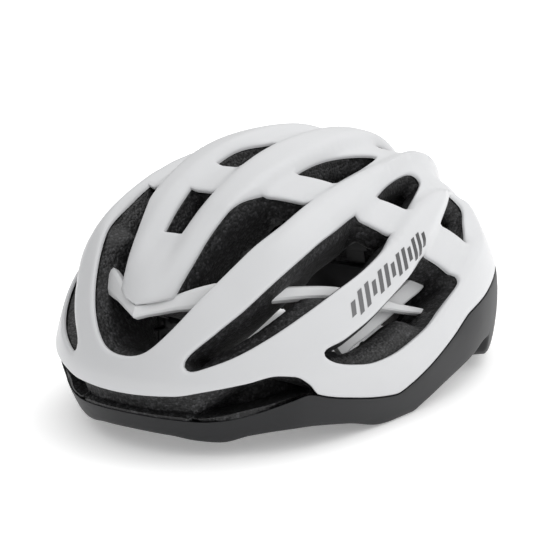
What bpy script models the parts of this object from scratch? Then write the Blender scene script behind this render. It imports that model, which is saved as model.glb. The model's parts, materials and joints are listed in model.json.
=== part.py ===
"""A road cycling helmet: two outer shells over a vented foam liner, with an inner cage, pads,
a dial-adjusted retention cradle, webbing straps and a side-release buckle.

Metres, +Z up. The front of the helmet points along -Y and the wearer's left is +X. The origin is
on the ground, under the middle of the helmet's length and width.

The dome is described on a flat map in degrees: (a, b) is a direction from the hub, a to the
wearer's left and b towards the back, and its distance from (0, 0) is the angle from the crown.
"""

import math

import bpy
import numpy as np
from mathutils import Matrix, Vector
from mathutils.geometry import delaunay_2d_cdt

# Dome: semi-axes of the outer surface at the hub, and how each grows towards the back of the helmet.
HALF_WIDTH, WIDTH_GROWTH = 0.0977, 0.0065
HALF_LENGTH, LENGTH_GROWTH = 0.1430, -0.0021
CROWN_HEIGHT, HEIGHT_GROWTH = 0.1269, 0.0050
DOME_POWER = 2.25
CAVITY_HALF = (0.0750, 0.1060, 0.0970)
CAVITY_POWER = 2.2
RAKE = math.radians(2.0)
HUB_Y, HUB_Z = 0.00203, 0.0016

# Relief of the outer surface.
RIB_RISE = 0.0043
EDGE_ROLL, ROLL_WIDTH = 0.0016, 2.0
SHELL_THICKNESS = 0.0016
GAP = 0.0003
FOAM_GAP = 0.0005
LOWER_GAP, FLANGE_GAP = 0.0012, 0.0048
SLOT_DEPTH = 0.0055
FLANGE_WIDTH = 0.009

# Mesh steps in degrees of the map.
OUTLINE_STEP = 4.2
GRID_STEP = 5.6

# Vents on the wearer's left, as (a, b) or (a, b, 1) at a sharp corner; those on the centre plane give a half.
FRONT_VENT_HALF = [(0, -73.4), (6, -72), (11, -66.8), (15.3, -58.8), (18.9, -49.5), (21.5, -39),
                   (22.9, -26.6, 1), (13.2, -31.5, 1), (11, -37.8), (9.5, -46.5), (8.8, -53),
                   (7.9, -58.4), (7.4, -61.2, 1), (3.8, -63), (0, -64.1, 1)]
CENTRE_HOLE_HALF = [(0, -47.6), (2.4, -47.6, 1), (3.4, -34.8, 1), (0, -34.8)]
CENTRE_VENT_HALF = [(0, -24), (3.6, -24, 1), (3.5, -16), (2.3, -9), (0, -5.5)]
REAR_VENT_HALF = [(0, 24), (3.4, 24, 1), (4.4, 35), (3.2, 45), (0, 47)]
SIDE_VENTS = {
    "vent_1_rear": [(14.6, -19.6, 1), (22.7, -14.4, 1), (22.3, -3), (21, 6), (19.4, 9.9), (17.6, 6),
                    (15.6, -4)],
    "vent_2": [(16.3, -70.4), (20.7, -64.2), (25, -56.4), (28.8, -45), (30.9, -33), (31.7, -19.3, 1),
               (40.1, -12.1, 1), (42, -21), (41.9, -31), (39.8, -41), (36.6, -50.5), (32.2, -59.2),
               (26.4, -66.6), (19.4, -71.9), (16.4, -72.5)],
    "vent_2_rear": [(30.7, -6.7, 1), (36.5, 1.9, 1), (33, 11), (29.3, 18), (27.2, 15), (28.5, 4)],
    "vent_3": [(45.2, -53.4), (48.6, -46), (51.2, -34), (51.2, -17), (48.4, -1.1, 1), (54.4, 9.4),
               (57.2, 10.4), (59.6, 6.4), (63.2, -6.6), (64.8, -18), (63.4, -32), (59.4, -42.4),
               (54, -49.2), (48.6, -53.4)],
    "vent_3_rear": [(42.1, 13.9, 1), (45.9, 27.8, 1), (38.6, 34), (33.8, 36.6), (32.5, 30), (37.2, 22.2)],
    "vent_1_tail": [(12.2, 22), (17.4, 21), (18.6, 31), (16.2, 41), (12, 45.4), (10.4, 35)],
}
# Sunken lanes that join the vents: a route on the map, half-widths of the floor and of the whole lane, and
# the depth, which fades in and out over a stretch at the two ends.
LANES = [
    ([(0, -62), (0, -40), (0, -10), (0, 20), (0, 50)], 1.6, 6.4, 0.0050),
    ([(16, -47), (17.6, -30), (19, -12), (18.4, 8), (15.4, 27), (12.6, 52)], 3.2, 6.8, 0.0058),
    ([(35, -36), (36.6, -18), (33.4, -2), (29, 17), (26.8, 37), (22, 54)], 3.2, 6.6, 0.0056),
    ([(57.4, -18), (56, -8), (52, 4), (44, 21), (35.4, 35), (32, 46)], 4.2, 8.4, 0.0054),
]
LANE_FADE = 13.0
# Crests of the ribs: a route on the map with its extra rise, and the reach to either side.
CRESTS = [
    ([(23.5, -58, 0), (25.2, -44, 0.0026), (27.5, -25, 0.0004), (26.6, -8, 0), (25, 8, 0.0018),
      (22.8, 22, 0.0036), (21, 36, 0.0020), (20, 50, 0)], 9.0),
    ([(40.5, 4, 0), (36.5, 20, 0.0010), (29.5, 36, 0.0030), (30.5, 48, 0.0006), (33, 60, 0)], 9.0),
]
# Nose of the centre rib: how far its sides and its tip droop, and the angles over which they do.
NOSE_DROOP, NOSE_HALF, NOSE_TIP = 0.0054, 7.5, 0.0009

# Edges round the helmet: azimuth from the front in degrees, then the angle from the crown.
WHITE_EDGE = [(0, 80), (11, 79.4), (16, 78.3), (24, 76.4), (30, 74.9), (33.5, 75.1), (36.6, 76.8),
              (38.6, 79), (48, 80.9), (57.5, 82.2), (63.7, 82.6), (69, 80.9), (75.5, 78), (90, 71.2),
              (101.6, 67.6), (112.6, 66.9), (128, 66.1), (138, 66.6), (150, 67), (165, 67.5), (180, 68)]
SLOT_FOOT = [(0, 84.1), (7, 84.2), (15, 84.4), (19.4, 84), (25.7, 82.5), (32.6, 80.2), (36.8, 79),
             (38.6, 79.3)]
SLOT_END, SEAM_ANGLE = 38.6, 0.3
# Height of the lower rim against the hub, by azimuth.
RIM_HEIGHT = [(0, 0.0050), (8, 0.0043), (13, 0.0022), (18, 0.0012), (24, 0.0045), (35, 0.0065), (47, 0.0035),
              (60, -0.0028), (73, -0.0034), (80, 0.0010), (90, 0.0080), (105, 0.0160), (113, 0.0205),
              (118, 0.0205), (121.5, 0.0105), (124.5, 0.0078), (140, 0.0078), (147, 0.0092), (154, 0.0100),
              (158, 0.0062), (161.5, 0.0026), (171, 0.0026), (175, 0.0075), (180, 0.0100)]
# How far the rim band is set in under the brow.
BROW_INSET = 0.0028

# Cage, on the map with the height against the bare dome: a straight arm from the centre, then a side run.
CAGE_ARM = [(0, -64.6, -0.0030), (15.8, -57.2, -0.0088)]
CAGE_SIDE = [(15.8, -57.2, -0.0088), (21.5, -54.2, -0.0098), (27, -50.6, -0.0102), (33, -45.3, -0.0102),
             (39.2, -38.9, -0.0102), (46, -31.5, -0.0106), (52.5, -23.6, -0.0110), (58.5, -12.6, -0.0110),
             (63.4, 1.4, -0.0110), (65.6, 8, -0.0110)]
CAGE_WIDTH, CAGE_THICKNESS, CAGE_CHAMFER = 0.0075, 0.0052, 0.0012
STRUT_ROUTE = [(49.8, -47, -0.0185), (51.3, -42, -0.0185), (53.6, -33, -0.0185), (54.9, -21.7, -0.0185),
               (54.8, -9.7, -0.0185), (53.3, 3.1, -0.0185), (51.6, 9, -0.0185)]
STRUT_WIDTH, STRUT_THICKNESS = 0.0110, 0.0036
CAGE_CLEARANCE = 0.0004

# Pads on the cavity wall: outlines on the map, for the wearer's left or across the centre plane.
PAD_THICKNESS, PAD_STANDOFF = 0.0060, 0.0010
SIDE_PADS = {
    "temple_pad": [(43.9, -36), (49.4, -35), (49.8, -18), (47.4, -4), (43.2, -8), (44.6, -20)],
    "crown_pad": [(24.2, -42), (28.4, -40), (30, -26), (29.6, -10), (26.6, 3), (24, 0), (24.4, -16)],
}
TOP_PAD = [(-8.5, 0), (8.5, 0), (8.5, 18), (-8.5, 18)]
BROW_PAD_ANGLES, BROW_PAD_TURN = (74.8, 83.6), 42

# Retention cradle, in world metres. The whole cradle tilts about the temple pins.
PIN_X, PIN_Y, PIN_Z = 0.0703, -0.0140, 0.0260
PIN_RADIUS, PIN_FLANGE, PIN_HEAD, PIN_REACH = 0.0025, 0.0045, 0.0040, 0.0140
DIAL_Y, DIAL_Z = 0.0820, 0.0300
PITCH_RADIUS, TEETH, ADDENDUM, DEDENDUM, BACKLASH = 0.0045, 12, 0.00060, 0.00085, 0.00025
HOUSING_HALF, HOUSING_HEIGHT, HOUSING_DEPTH, WALL = 0.0310, 0.0250, 0.0080, 0.0016
RACK_TIP, RACK_ROOT, RACK_BACK = 0.0120, 0.0350, 0.0022
TAB_X, TAB_HALF, TAB_LIP = 0.0345, 0.0022, 0.0026
STRIP_RADIUS, STRIP_WIDTH, STRIP_THICKNESS = 0.0975, 0.0120, 0.0016
STRIP_ANGLES, GUIDE_ANGLES, GUIDE_DEPTH = (10.5, 29.5), (16.0, 19.2), 0.0120
KNOB_RADIUS, KNOB_DEPTH, SHAFT_RADIUS, STUB_RADIUS, SHAFT_PLAY = 0.0160, 0.0085, 0.0027, 0.0016, 0.0003
BAND_HEIGHT, BAND_THICKNESS, EYE_RADIUS = 0.0100, 0.0016, 0.0062
BAND_ROUTE = [(0.0335, 0.0820, 0.0300), (0.0415, 0.0795, 0.0300), (0.0485, 0.0690, 0.0304),
              (0.0560, 0.0500, 0.0318), (0.0608, 0.0250, 0.0320), (0.0634, 0.0020, 0.0295),
              (0.0640, -0.0070, 0.0270), (0.0640, -0.0140, 0.0260)]
CRADLE_ROUTE = [(-0.0400, 0.0630, 0.0225), (-0.0220, 0.0728, 0.0205), (0.0000, 0.0764, 0.0200),
                (0.0220, 0.0728, 0.0205), (0.0400, 0.0630, 0.0225)]
CRADLE_HEIGHT, CRADLE_THICKNESS, CRADLE_PAD = 0.0140, 0.0020, 0.0040

# Straps, in world metres, stowed inside the cavity; routes are for the wearer's left.
WEBBING_WIDTH, WEBBING_THICKNESS, WALL_INSET = 0.0150, 0.0016, 0.0040
FRONT_ANCHOR, REAR_ANCHOR = (-0.0540, 0.0140), (0.0670, 0.0330)
ANCHOR_LENGTH, ANCHOR_HEIGHT, ANCHOR_DEPTH, ANCHOR_INSET = 0.0070, 0.0165, 0.0032, 0.0052
DIVIDER_X, DIVIDER_Y, DIVIDER_Z = 0.0698, -0.0120, 0.0130
DIVIDER_SIZE = (0.0044, 0.0150, 0.0150)
LEVER_SIZE, LEVER_Z = (0.0015, 0.0120, 0.0090), 0.0116
FRONT_STRAP = [(-0.0492, 0.0140), (-0.0420, 0.0138), (-0.0300, 0.0132), (-0.0200, 0.0130)]
REAR_STRAP = [(0.0620, 0.0322), (0.0500, 0.0306), (0.0330, 0.0262), (0.0150, 0.0190), (0.0040, 0.0140),
              (-0.0010, 0.0130), (-0.0034, 0.0130)]
CHIN_STRAP = [(0.0690, -0.0120, 0.0042), (0.0600, -0.0105, 0.0044), (0.0500, -0.0050, 0.0060),
              (0.0420, -0.0008, 0.0082), (0.0380, 0.0000, 0.0085), (0.0314, 0.0000, 0.0085)]
BUCKLE_Z, BUCKLE_HEIGHT, BUCKLE_WIDTH, BUCKLE_WALL = 0.0085, 0.0092, 0.0240, 0.0020
FEMALE_X, MALE_X, PRONG_REACH = (0.0030, 0.0310), (-0.0180, 0.0026), 0.0205
WINDOW_X, GUIDE_HALF, KEEPER_X = (0.0125, 0.0222), 0.0022, (0.0334, 0.0374)

WHITE = ((0.80, 0.81, 0.82), 0.30)
GRAPHITE = ((0.060, 0.061, 0.064), 0.42)
FOAM_BLACK = ((0.018, 0.018, 0.019), 0.75)
CAGE_WHITE = ((0.72, 0.73, 0.74), 0.38)
PLASTIC_BLACK = ((0.020, 0.020, 0.022), 0.45)
PAD_GREY = ((0.035, 0.034, 0.035), 0.92)
WEB_BLACK = ((0.015, 0.015, 0.016), 0.85)


# ---------------------------------------------------------------- map and dome

def pairs(points):
    return np.array([p[:2] for p in points], float)


def directions(ab):
    angle = np.hypot(ab[:, 0], ab[:, 1])
    turn = np.radians(angle)
    share = np.where(angle > 1e-9, np.sin(turn) / np.maximum(angle, 1e-9), math.pi / 180)
    return np.stack([ab[:, 0] * share, ab[:, 1] * share, np.cos(turn)], 1)


def to_world(points):
    """Points round the hub, leant by the rake and raised onto the ground."""
    c, s = math.cos(RAKE), math.sin(RAKE)
    x, y, z = points.T
    return np.stack([x, HUB_Y + y * c + z * s, HUB_Z - y * s + z * c], 1)


def superellipsoid(d, half, power):
    return ((abs(d) / half) ** power).sum(1) ** (-1 / power)


def smoothstep(x):
    x = np.clip(x, 0, 1)
    return x * x * (3 - 2 * x)


def ease(x, knots):
    """A smooth curve through the knots that never overshoots them."""
    xs, ys = np.array(knots, float).T
    slope = np.diff(ys) / np.diff(xs)
    product, total = slope[1:] * slope[:-1], slope[1:] + slope[:-1]
    inner = np.where(product > 0, 2 * product / (total + 1e-30), 0)
    tangent = np.concatenate([[0], inner, [0]])
    x = np.clip(x, xs[0], xs[-1])
    i = np.clip(np.searchsorted(xs, x, side="right") - 1, 0, len(xs) - 2)
    h = xs[i + 1] - xs[i]
    t = (x - xs[i]) / h
    return ((2 * t**3 - 3 * t**2 + 1) * ys[i] + (t**3 - 2 * t**2 + t) * h * tangent[i]
            + (3 * t**2 - 2 * t**3) * ys[i + 1] + (t**3 - t**2) * h * tangent[i + 1])


def azimuth(ab):
    return abs(np.degrees(np.arctan2(ab[:, 0], -ab[:, 1])))


def bare_radius(ab):
    """Distance from the hub to the dome, with the lower part tucked in towards the rim."""
    d = directions(ab)
    half = np.stack([HALF_WIDTH + WIDTH_GROWTH * d[:, 1], HALF_LENGTH + LENGTH_GROWTH * d[:, 1],
                     CROWN_HEIGHT + HEIGHT_GROWTH * d[:, 1]], 1)
    radius = superellipsoid(d, half, DOME_POWER)
    height = radius * d[:, 2]
    front = 0.10 * np.clip((0.032 - height) / 0.032, 0, 2) ** 1.3
    back = 0.09 * np.clip((0.050 - height) / 0.050, 0, 2) ** 1.3
    rearward = smoothstep((azimuth(ab) - 100) / 30)
    return radius * (1 - front * (1 - rearward) - back * rearward)


def dome(ab, lift):
    return to_world(directions(ab) * (bare_radius(ab) + lift)[:, None])


def cavity(ab, lift):
    d = directions(ab)
    radius = superellipsoid(d, np.array(CAVITY_HALF), CAVITY_POWER)
    return to_world(d * (radius + lift)[:, None])


def distance_to(ab, route, closed=False):
    """Distance on the map from each point to a polyline."""
    a = np.asarray(route, float)
    b = np.roll(a, -1, 0) if closed else a[1:]
    a = a if closed else a[:-1]
    best = np.full(len(ab), 1e9)
    for p, q in zip(a, b):
        along = np.clip(((ab - p) @ (q - p)) / ((q - p) @ (q - p)), 0, 1)
        best = np.minimum(best, np.linalg.norm(ab - p - along[:, None] * (q - p), axis=1))
    return best


def inside(ab, loop):
    hit = np.zeros(len(ab), bool)
    for (x1, y1), (x2, y2) in zip(loop, np.roll(loop, -1, 0)):
        crosses = (y1 > ab[:, 1]) != (y2 > ab[:, 1])
        with np.errstate(divide="ignore", invalid="ignore"):
            left = ab[:, 0] < (x2 - x1) * (ab[:, 1] - y1) / (y2 - y1) + x1
        hit ^= crosses & left
    return hit


def nose_droop(side):
    """How far the front end of the centre rib curves down towards its edges and its tip."""
    a, b = side[:, 0], side[:, 1]
    within_nose = smoothstep((11.5 - a) / 1.5) * smoothstep((b + 66.5) / 2)
    sides = NOSE_DROOP * np.clip((-40 - b) / 21.5, 0, 1.1) * (a / NOSE_HALF) ** 2
    return within_nose * (sides + NOSE_TIP * np.clip((-55 - b) / 9, 0, 1))


def rib_lift(ab):
    """Height of the outer surface over the bare dome: ribs stand up between the sunken lanes."""
    side = np.stack([abs(ab[:, 0]), ab[:, 1]], 1)
    sink = np.zeros(len(ab))
    for route, floor, reach, depth in LANES:
        away = distance_to(side, spline(route, 40))
        ends = (side[:, 1] - route[0][1]) / LANE_FADE, (route[-1][1] - side[:, 1]) / LANE_FADE
        depth = depth * smoothstep(ends[0]) * smoothstep(ends[1])
        sink = np.maximum(sink, depth * smoothstep((reach - away) / (reach - floor)))
    rise = np.zeros(len(ab))
    for route, reach in CRESTS:
        line = spline(route, 240)
        apart = np.hypot(side[:, :1] - line[:, 0], side[:, 1:] - line[:, 1])
        rise = np.maximum(rise, line[apart.argmin(1), 2] * smoothstep(1 - apart.min(1) / reach))
    return RIB_RISE - sink + rise - nose_droop(side)


# ---------------------------------------------------------------- outlines

def spline(points, count):
    """Points evenly spread along a smooth open curve through the given ones."""
    p = np.asarray(points, float)
    p = np.vstack([2 * p[0] - p[1], p, 2 * p[-1] - p[-2]])
    dense = []
    for i in range(1, len(p) - 2):
        t = np.linspace(0, 1, 24, endpoint=False)[:, None]
        dense.append(0.5 * (2 * p[i] + (p[i + 1] - p[i - 1]) * t
                            + (2 * p[i - 1] - 5 * p[i] + 4 * p[i + 1] - p[i + 2]) * t**2
                            + (3 * p[i] - p[i - 1] - 3 * p[i + 1] + p[i + 2]) * t**3))
    dense = np.vstack(dense + [p[-2:-1]])
    gone = np.concatenate([[0], np.cumsum(np.linalg.norm(np.diff(dense, axis=0), axis=1))])
    at = np.linspace(0, gone[-1], count)
    return np.stack([np.interp(at, gone, dense[:, k]) for k in range(p.shape[1])], 1)


def outline(points, step=OUTLINE_STEP):
    """A closed outline through the points, smooth everywhere but at the marked corners."""
    corners = [i for i, p in enumerate(points) if len(p) > 2]
    if not corners:
        p = pairs(points)
        around = spline(np.vstack([p[-2:], p, p[:2]]), 24 * (len(p) + 3) + 1)
        around = around[48:-24]
        gone = np.concatenate([[0], np.cumsum(np.linalg.norm(np.diff(around, axis=0), axis=1))])
        count = max(8, round(gone[-1] / step))
        at = np.linspace(0, gone[-1], count, endpoint=False)
        return np.stack([np.interp(at, gone, around[:, k]) for k in (0, 1)], 1)
    p = pairs(points)
    out = []
    for i, first in enumerate(corners):
        last = corners[(i + 1) % len(corners)]
        span = (last - first) % len(p) or len(p)
        run = p[[(first + k) % len(p) for k in range(span + 1)]]
        length = np.linalg.norm(np.diff(run, axis=0), axis=1).sum()
        out.append(spline(run, max(2, round(length / step) + 1))[:-1])
    return np.vstack(out)


def mirrored(half):
    """A closed list of points from the half with a >= 0, whose ends lie on the centre plane."""
    return half + [(-p[0],) + tuple(p[1:]) for p in reversed(half[1:-1])]


def flipped(points):
    return [(-p[0],) + tuple(p[1:]) for p in points]


def vent_loops():
    loops = [outline(mirrored(half)) for half in (FRONT_VENT_HALF, CENTRE_HOLE_HALF, CENTRE_VENT_HALF,
                                                  REAR_VENT_HALF)]
    for points in SIDE_VENTS.values():
        loops += [outline(points), outline(flipped(points))]
    return loops


def azimuth_stations():
    """Azimuths at which the edges round the helmet have points, closer together where the edges turn."""
    half = [*range(0, 30, 5), *range(30, 42, 2), *range(42, 108, 6), *range(108, 132, 2), *range(132, 180, 6)]
    return np.array([-t for t in reversed(half[1:])] + half + [180], float)


def ring_of(angle_at):
    """A closed loop round the crown at the angle that each azimuth has."""
    turn = azimuth_stations()
    angle = angle_at(abs(turn))
    return np.stack([angle * np.sin(np.radians(turn)), -angle * np.cos(np.radians(turn))], 1)


def white_edge(turn):
    return ease(turn, WHITE_EDGE)


def graphite_edge(turn):
    return np.where(turn < SLOT_END, ease(turn, SLOT_FOOT), white_edge(turn) + SEAM_ANGLE)


def rim_angle(turn, rise=0.0):
    """Angle from the crown at which the dome is at the rim's height, plus a rise."""
    height = ease(turn, RIM_HEIGHT) + rise
    angle = np.full(len(turn), 86.0)
    for _ in range(12):
        ab = np.stack([angle * np.sin(np.radians(turn)), -angle * np.cos(np.radians(turn))], 1)
        angle = np.degrees(np.arccos(np.clip(height / (bare_radius(ab) + RIB_RISE), -1, 1)))
    return angle


# ---------------------------------------------------------------- solids

def material(name, look):
    made = bpy.data.materials.get(name)
    if made:
        return made
    made = bpy.data.materials.new(name)
    made.use_nodes = True
    shader = made.node_tree.nodes["Principled BSDF"]
    shader.inputs["Base Color"].default_value = (*look[0], 1)
    shader.inputs["Roughness"].default_value = look[1]
    shader.inputs["Metallic"].default_value = 0
    return made


def solid(name, points, faces, look, smooth=True):
    """An object from points and faces, turned to face outwards."""
    points = np.asarray(points, float)
    volume = 0.0
    for face in faces:
        for j in range(1, len(face) - 1):
            volume += np.dot(points[face[0]], np.cross(points[face[j]], points[face[j + 1]]))
    if volume < 0:
        faces = [tuple(reversed(face)) for face in faces]
    mesh = bpy.data.meshes.new(name)
    mesh.from_pydata([tuple(p) for p in points], [], [tuple(int(i) for i in f) for f in faces])
    mesh.validate()
    made = bpy.data.objects.new(name, mesh)
    bpy.context.scene.collection.objects.link(made)
    mesh.materials.append(material(name, look))
    if smooth:
        mesh.shade_smooth()
        mesh.set_sharp_from_angle(angle=math.radians(35))
    return made


def triangulate(rim, holes, lines, step):
    """Points and triangles that fill the rim, leave the holes open and follow the lines, on an even grid."""
    loops = [rim] + holes + lines
    reach = abs(rim).max() + step
    rows = np.arange(-reach, reach, step * 0.866)
    grid = []
    for k, b in enumerate(rows):
        columns = np.arange(0.25 * step if k % 2 else 0.75 * step, reach, step)
        grid += [(a, b) for a in columns] + [(-a, b) for a in columns]
    grid = np.array(grid)
    keep = inside(grid, rim)
    for hole in holes:
        keep &= ~inside(grid, hole)
    for loop in loops:
        keep &= distance_to(grid, loop, closed=True) > 0.55 * step
    points, edges = [], []
    for loop in loops:
        first = len(points)
        points += [tuple(p) for p in loop]
        edges += [(first + i, first + (i + 1) % len(loop)) for i in range(len(loop))]
    points += [tuple(p) for p in grid[keep]]
    found = delaunay_2d_cdt([Vector(p) for p in points], edges, [], 0, 1e-6)
    ab = np.array([tuple(p) for p in found[0]])
    triangles = np.array([tuple(f) for f in found[2]])
    return ab, within(ab, triangles, rim, holes)


def within(ab, triangles, rim, holes):
    """The triangles whose middle is inside the rim and outside every hole."""
    middle = ab[triangles].mean(1)
    used = inside(middle, rim)
    for hole in holes:
        used &= ~inside(middle, hole)
    return triangles[used]


def layered(name, triangles, layers, look):
    """A solid from one triangulation repeated on several layers, outermost first."""
    kept, index = np.unique(triangles, return_inverse=True)
    triangles = index.reshape(-1, 3)
    layers = [layer[kept] for layer in layers]
    n = len(kept)
    top = [tuple(t) for t in triangles]
    bottom = [tuple(n * (len(layers) - 1) + i for i in reversed(t)) for t in triangles]
    edges = {(t[i], t[(i + 1) % 3]) for t in triangles for i in range(3)}
    walls = []
    for i, j in sorted(edges):
        if (j, i) not in edges:
            for k in range(len(layers) - 1):
                walls.append((j + k * n, i + k * n, i + (k + 1) * n, j + (k + 1) * n))
    return solid(name, np.vstack(layers), top + bottom + walls, look)


def unit(v):
    return v / np.linalg.norm(v, axis=-1, keepdims=True)


def sweep(name, route, wide, section, look, closed=False, smooth=True):
    """A closed section carried along a route; wide is the direction of the section's first coordinate."""
    route = np.asarray(route, float)
    n, m = len(route), len(section)
    wide = np.broadcast_to(np.asarray(wide, float), route.shape)
    along = np.roll(route, -1, 0) - np.roll(route, 1, 0) if closed else np.gradient(route, axis=0)
    thick = unit(np.cross(along, wide))
    across = unit(np.cross(thick, along))
    points = [route[i] + u * across[i] + v * thick[i] for i in range(n) for u, v in section]
    faces = []
    for i in range(n if closed else n - 1):
        k = (i + 1) % n
        for j in range(m):
            q = (j + 1) % m
            faces.append((i * m + j, i * m + q, k * m + q, k * m + j))
    if not closed:
        faces += [tuple(range(m - 1, -1, -1)), tuple((n - 1) * m + j for j in range(m))]
    return solid(name, points, faces, look, smooth)


def flat_section(width, thickness, chamfer=0.0, grow=0.0):
    w, t, c = width / 2 + grow, thickness / 2 + grow, chamfer
    if not c:
        return [(-w, -t), (w, -t), (w, t), (-w, t)]
    right = [(w - c, -t), (w, -t + c), (w, t - c), (w - c, t)]
    return right + [(-u, -v) for u, v in right]


def prism(name, shape, low, high, axis, look, smooth=False):
    """An outline pushed from low to high along an axis; its coordinates are the other two axes in order."""
    order = {"x": (1, 2, 0), "y": (0, 2, 1), "z": (0, 1, 2)}[axis]
    points = []
    for level in (low, high):
        for p in shape:
            point = [0.0, 0.0, 0.0]
            point[order[0]], point[order[1]], point[order[2]] = p[0], p[1], level
            points.append(point)
    m = len(shape)
    faces = [tuple(range(m)), tuple(range(2 * m - 1, m - 1, -1))]
    faces += [(j, j + m, (j + 1) % m + m, (j + 1) % m) for j in range(m)]
    return solid(name, points, faces, look, smooth)


def rounded_box(u, v, half_u, half_v, radius, steps=3):
    """Outline of a rectangle with round corners about (u, v)."""
    shape = []
    for quarter, (su, sv) in enumerate([(1, 1), (-1, 1), (-1, -1), (1, -1)]):
        for k in range(steps + 1):
            turn = math.radians(90 * quarter + 90 * k / steps)
            shape.append((u + su * (half_u - radius) + radius * math.cos(turn),
                          v + sv * (half_v - radius) + radius * math.sin(turn)))
    return shape


def circle(u, v, radius, sides):
    return [(u + radius * math.cos(math.tau * k / sides), v + radius * math.sin(math.tau * k / sides))
            for k in range(sides)]


def set_origin(made, point):
    """Puts the object's origin on its joint's axis, with its shape left where it is."""
    made.data.transform(Matrix.Translation(-Vector(point)))
    made.location = point


def cut(target, cutter, operation="DIFFERENCE"):
    """Takes the cutter away from the target, or joins it on, and hides the cutter."""
    cutter.hide_render = True
    cutter.display_type = "WIRE"
    change = target.modifiers.new(cutter.name, "BOOLEAN")
    change.operation = operation
    change.solver = "EXACT"
    change.object = cutter


# ---------------------------------------------------------------- shells and liner

def outer_lift(ab, loops):
    """Outer surface of the shells: the ribs, with their edges rolled down."""
    away = np.full(len(ab), 1e9)
    for loop in loops:
        away = np.minimum(away, distance_to(ab, loop, closed=True))
    return rib_lift(ab) - EDGE_ROLL * np.clip(1 - away / ROLL_WIDTH, 0, 1) ** 2


def shell_and_liner(vents):
    """The white shell and the foam under it, on one triangulation, so that they nest facet by facet."""
    edge, rim = ring_of(white_edge), ring_of(foam_rim)
    ab, triangles = triangulate(rim, vents, [edge], GRID_STEP)
    lift = outer_lift(ab, vents)
    under_edge = within(ab, triangles, edge, [])
    layered("upper_shell", under_edge, [dome(ab, lift), dome(ab, lift - SHELL_THICKNESS)], WHITE)
    turn, angle = azimuth(ab), np.hypot(ab[:, 0], ab[:, 1])
    below = angle - white_edge(turn)
    lift -= SHELL_THICKNESS + FOAM_GAP + LOWER_GAP * smoothstep(below / 2)
    lift -= SLOT_DEPTH * smoothstep(below / 2.5) * smoothstep((SLOT_END + 2 - turn) / 6)
    foam = layered("foam_liner", triangles, [dome(ab, lift), cavity(ab, np.zeros(len(ab)))], FOAM_BLACK)
    for cutter in cage_bars(CAGE_CLEARANCE, "_pocket"):
        cut(foam, cutter)


def foam_rim(turn):
    return rim_angle(turn, SHELL_THICKNESS + FLANGE_GAP)


def lower_shell():
    turn = azimuth_stations()
    top, foot = graphite_edge(abs(turn)), rim_angle(abs(turn))
    way = np.stack([np.sin(np.radians(turn)), -np.cos(np.radians(turn))], 1)

    inset = BROW_INSET * smoothstep((SLOT_END - 3 - abs(turn)) / 10)

    def skin(share, lift):
        ab = way * (top + (foot - top) * share)[:, None]
        return dome(ab, rib_lift(ab) + lift - inset)

    outer = [skin(share, 0.0) for share in (0, 0.35, 0.75)] + [skin(1.0, -0.0012)]
    inner = [skin(share, -SHELL_THICKNESS) for share in (0, 0.35, 0.75)]
    ground = outer[3].copy()
    ground[:, 2] = np.maximum(ground[:, 2], 0)
    lip = np.maximum(outer[2][:, 2] - 0.0008, ground[:, 2] + 0.0010)
    outer[2][:, 2] = lip
    inward = unit(np.array([0, HUB_Y, HUB_Z]) - outer[3])
    low_in = ground + inward * FLANGE_WIDTH
    low_in[:, 2] = np.where(ground[:, 2] > 0, low_in[:, 2], 0)
    up = np.array([0, 0, SHELL_THICKNESS])
    rows = [outer[0], outer[1], outer[2], ground, low_in, low_in + up, ground + up + inward * SHELL_THICKNESS,
            inner[2], inner[1], inner[0]]
    n, m = len(turn), len(rows)
    points = np.stack(rows, 1).reshape(-1, 3)
    faces = [(i * m + j, i * m + (j + 1) % m, (i + 1) % n * m + (j + 1) % m, (i + 1) % n * m + j)
             for i in range(n) for j in range(m)]
    solid("lower_shell", points, faces, GRAPHITE)


def on_dome(points, count):
    """A smooth curve through map points that carry their height against the bare dome."""
    line = spline([(a, b, 1000 * lift) for a, b, lift in points], count)
    return dome(line[:, :2], line[:, 2] / 1000)


def hoop_route():
    """The cage's hoop: two straight arms that meet on the centre plane, and a smooth run along each side."""
    vertex, shoulder = on_dome(CAGE_ARM, 2)
    arm = vertex + (shoulder - vertex) * np.linspace(0, 1, 5, endpoint=False)[:, None]
    half = np.vstack([arm, on_dome(CAGE_SIDE, 18)])
    return np.vstack([half[:0:-1] * (-1, 1, 1), half])


def cage_bars(grow, suffix):
    """The cage's hoop and its two inner struts, grown by a clearance for their pockets in the foam."""
    strut = on_dome(STRUT_ROUTE, 13)
    routes = {"roll_cage": hoop_route(), "cage_strut_left": strut, "cage_strut_right": strut * (-1, 1, 1)}
    bars = []
    for name, route in routes.items():
        size = (CAGE_WIDTH, CAGE_THICKNESS) if name == "roll_cage" else (STRUT_WIDTH, STRUT_THICKNESS)
        outward = unit(route - (0, HUB_Y, HUB_Z))
        if grow:
            ends = unit(np.gradient(route, axis=0)[[0, -1]]) * grow
            route = np.vstack([route[0] - ends[0], route, route[-1] + ends[1]])
            outward = np.vstack([outward[:1], outward, outward[-1:]])
        wide = np.cross(outward, np.gradient(route, axis=0))
        section = flat_section(*size, CAGE_CHAMFER, grow)
        bars.append(sweep(name + suffix, route, wide, section, CAGE_WHITE))
    return bars


# ---------------------------------------------------------------- pads

def pad(name, loop):
    ab, triangles = triangulate(loop, [], [], GRID_STEP)
    n = len(ab)
    faces = [cavity(ab, np.full(n, -depth)) for depth in (PAD_STANDOFF, PAD_THICKNESS)]
    layered(name, triangles, faces, PAD_GREY)


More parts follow.
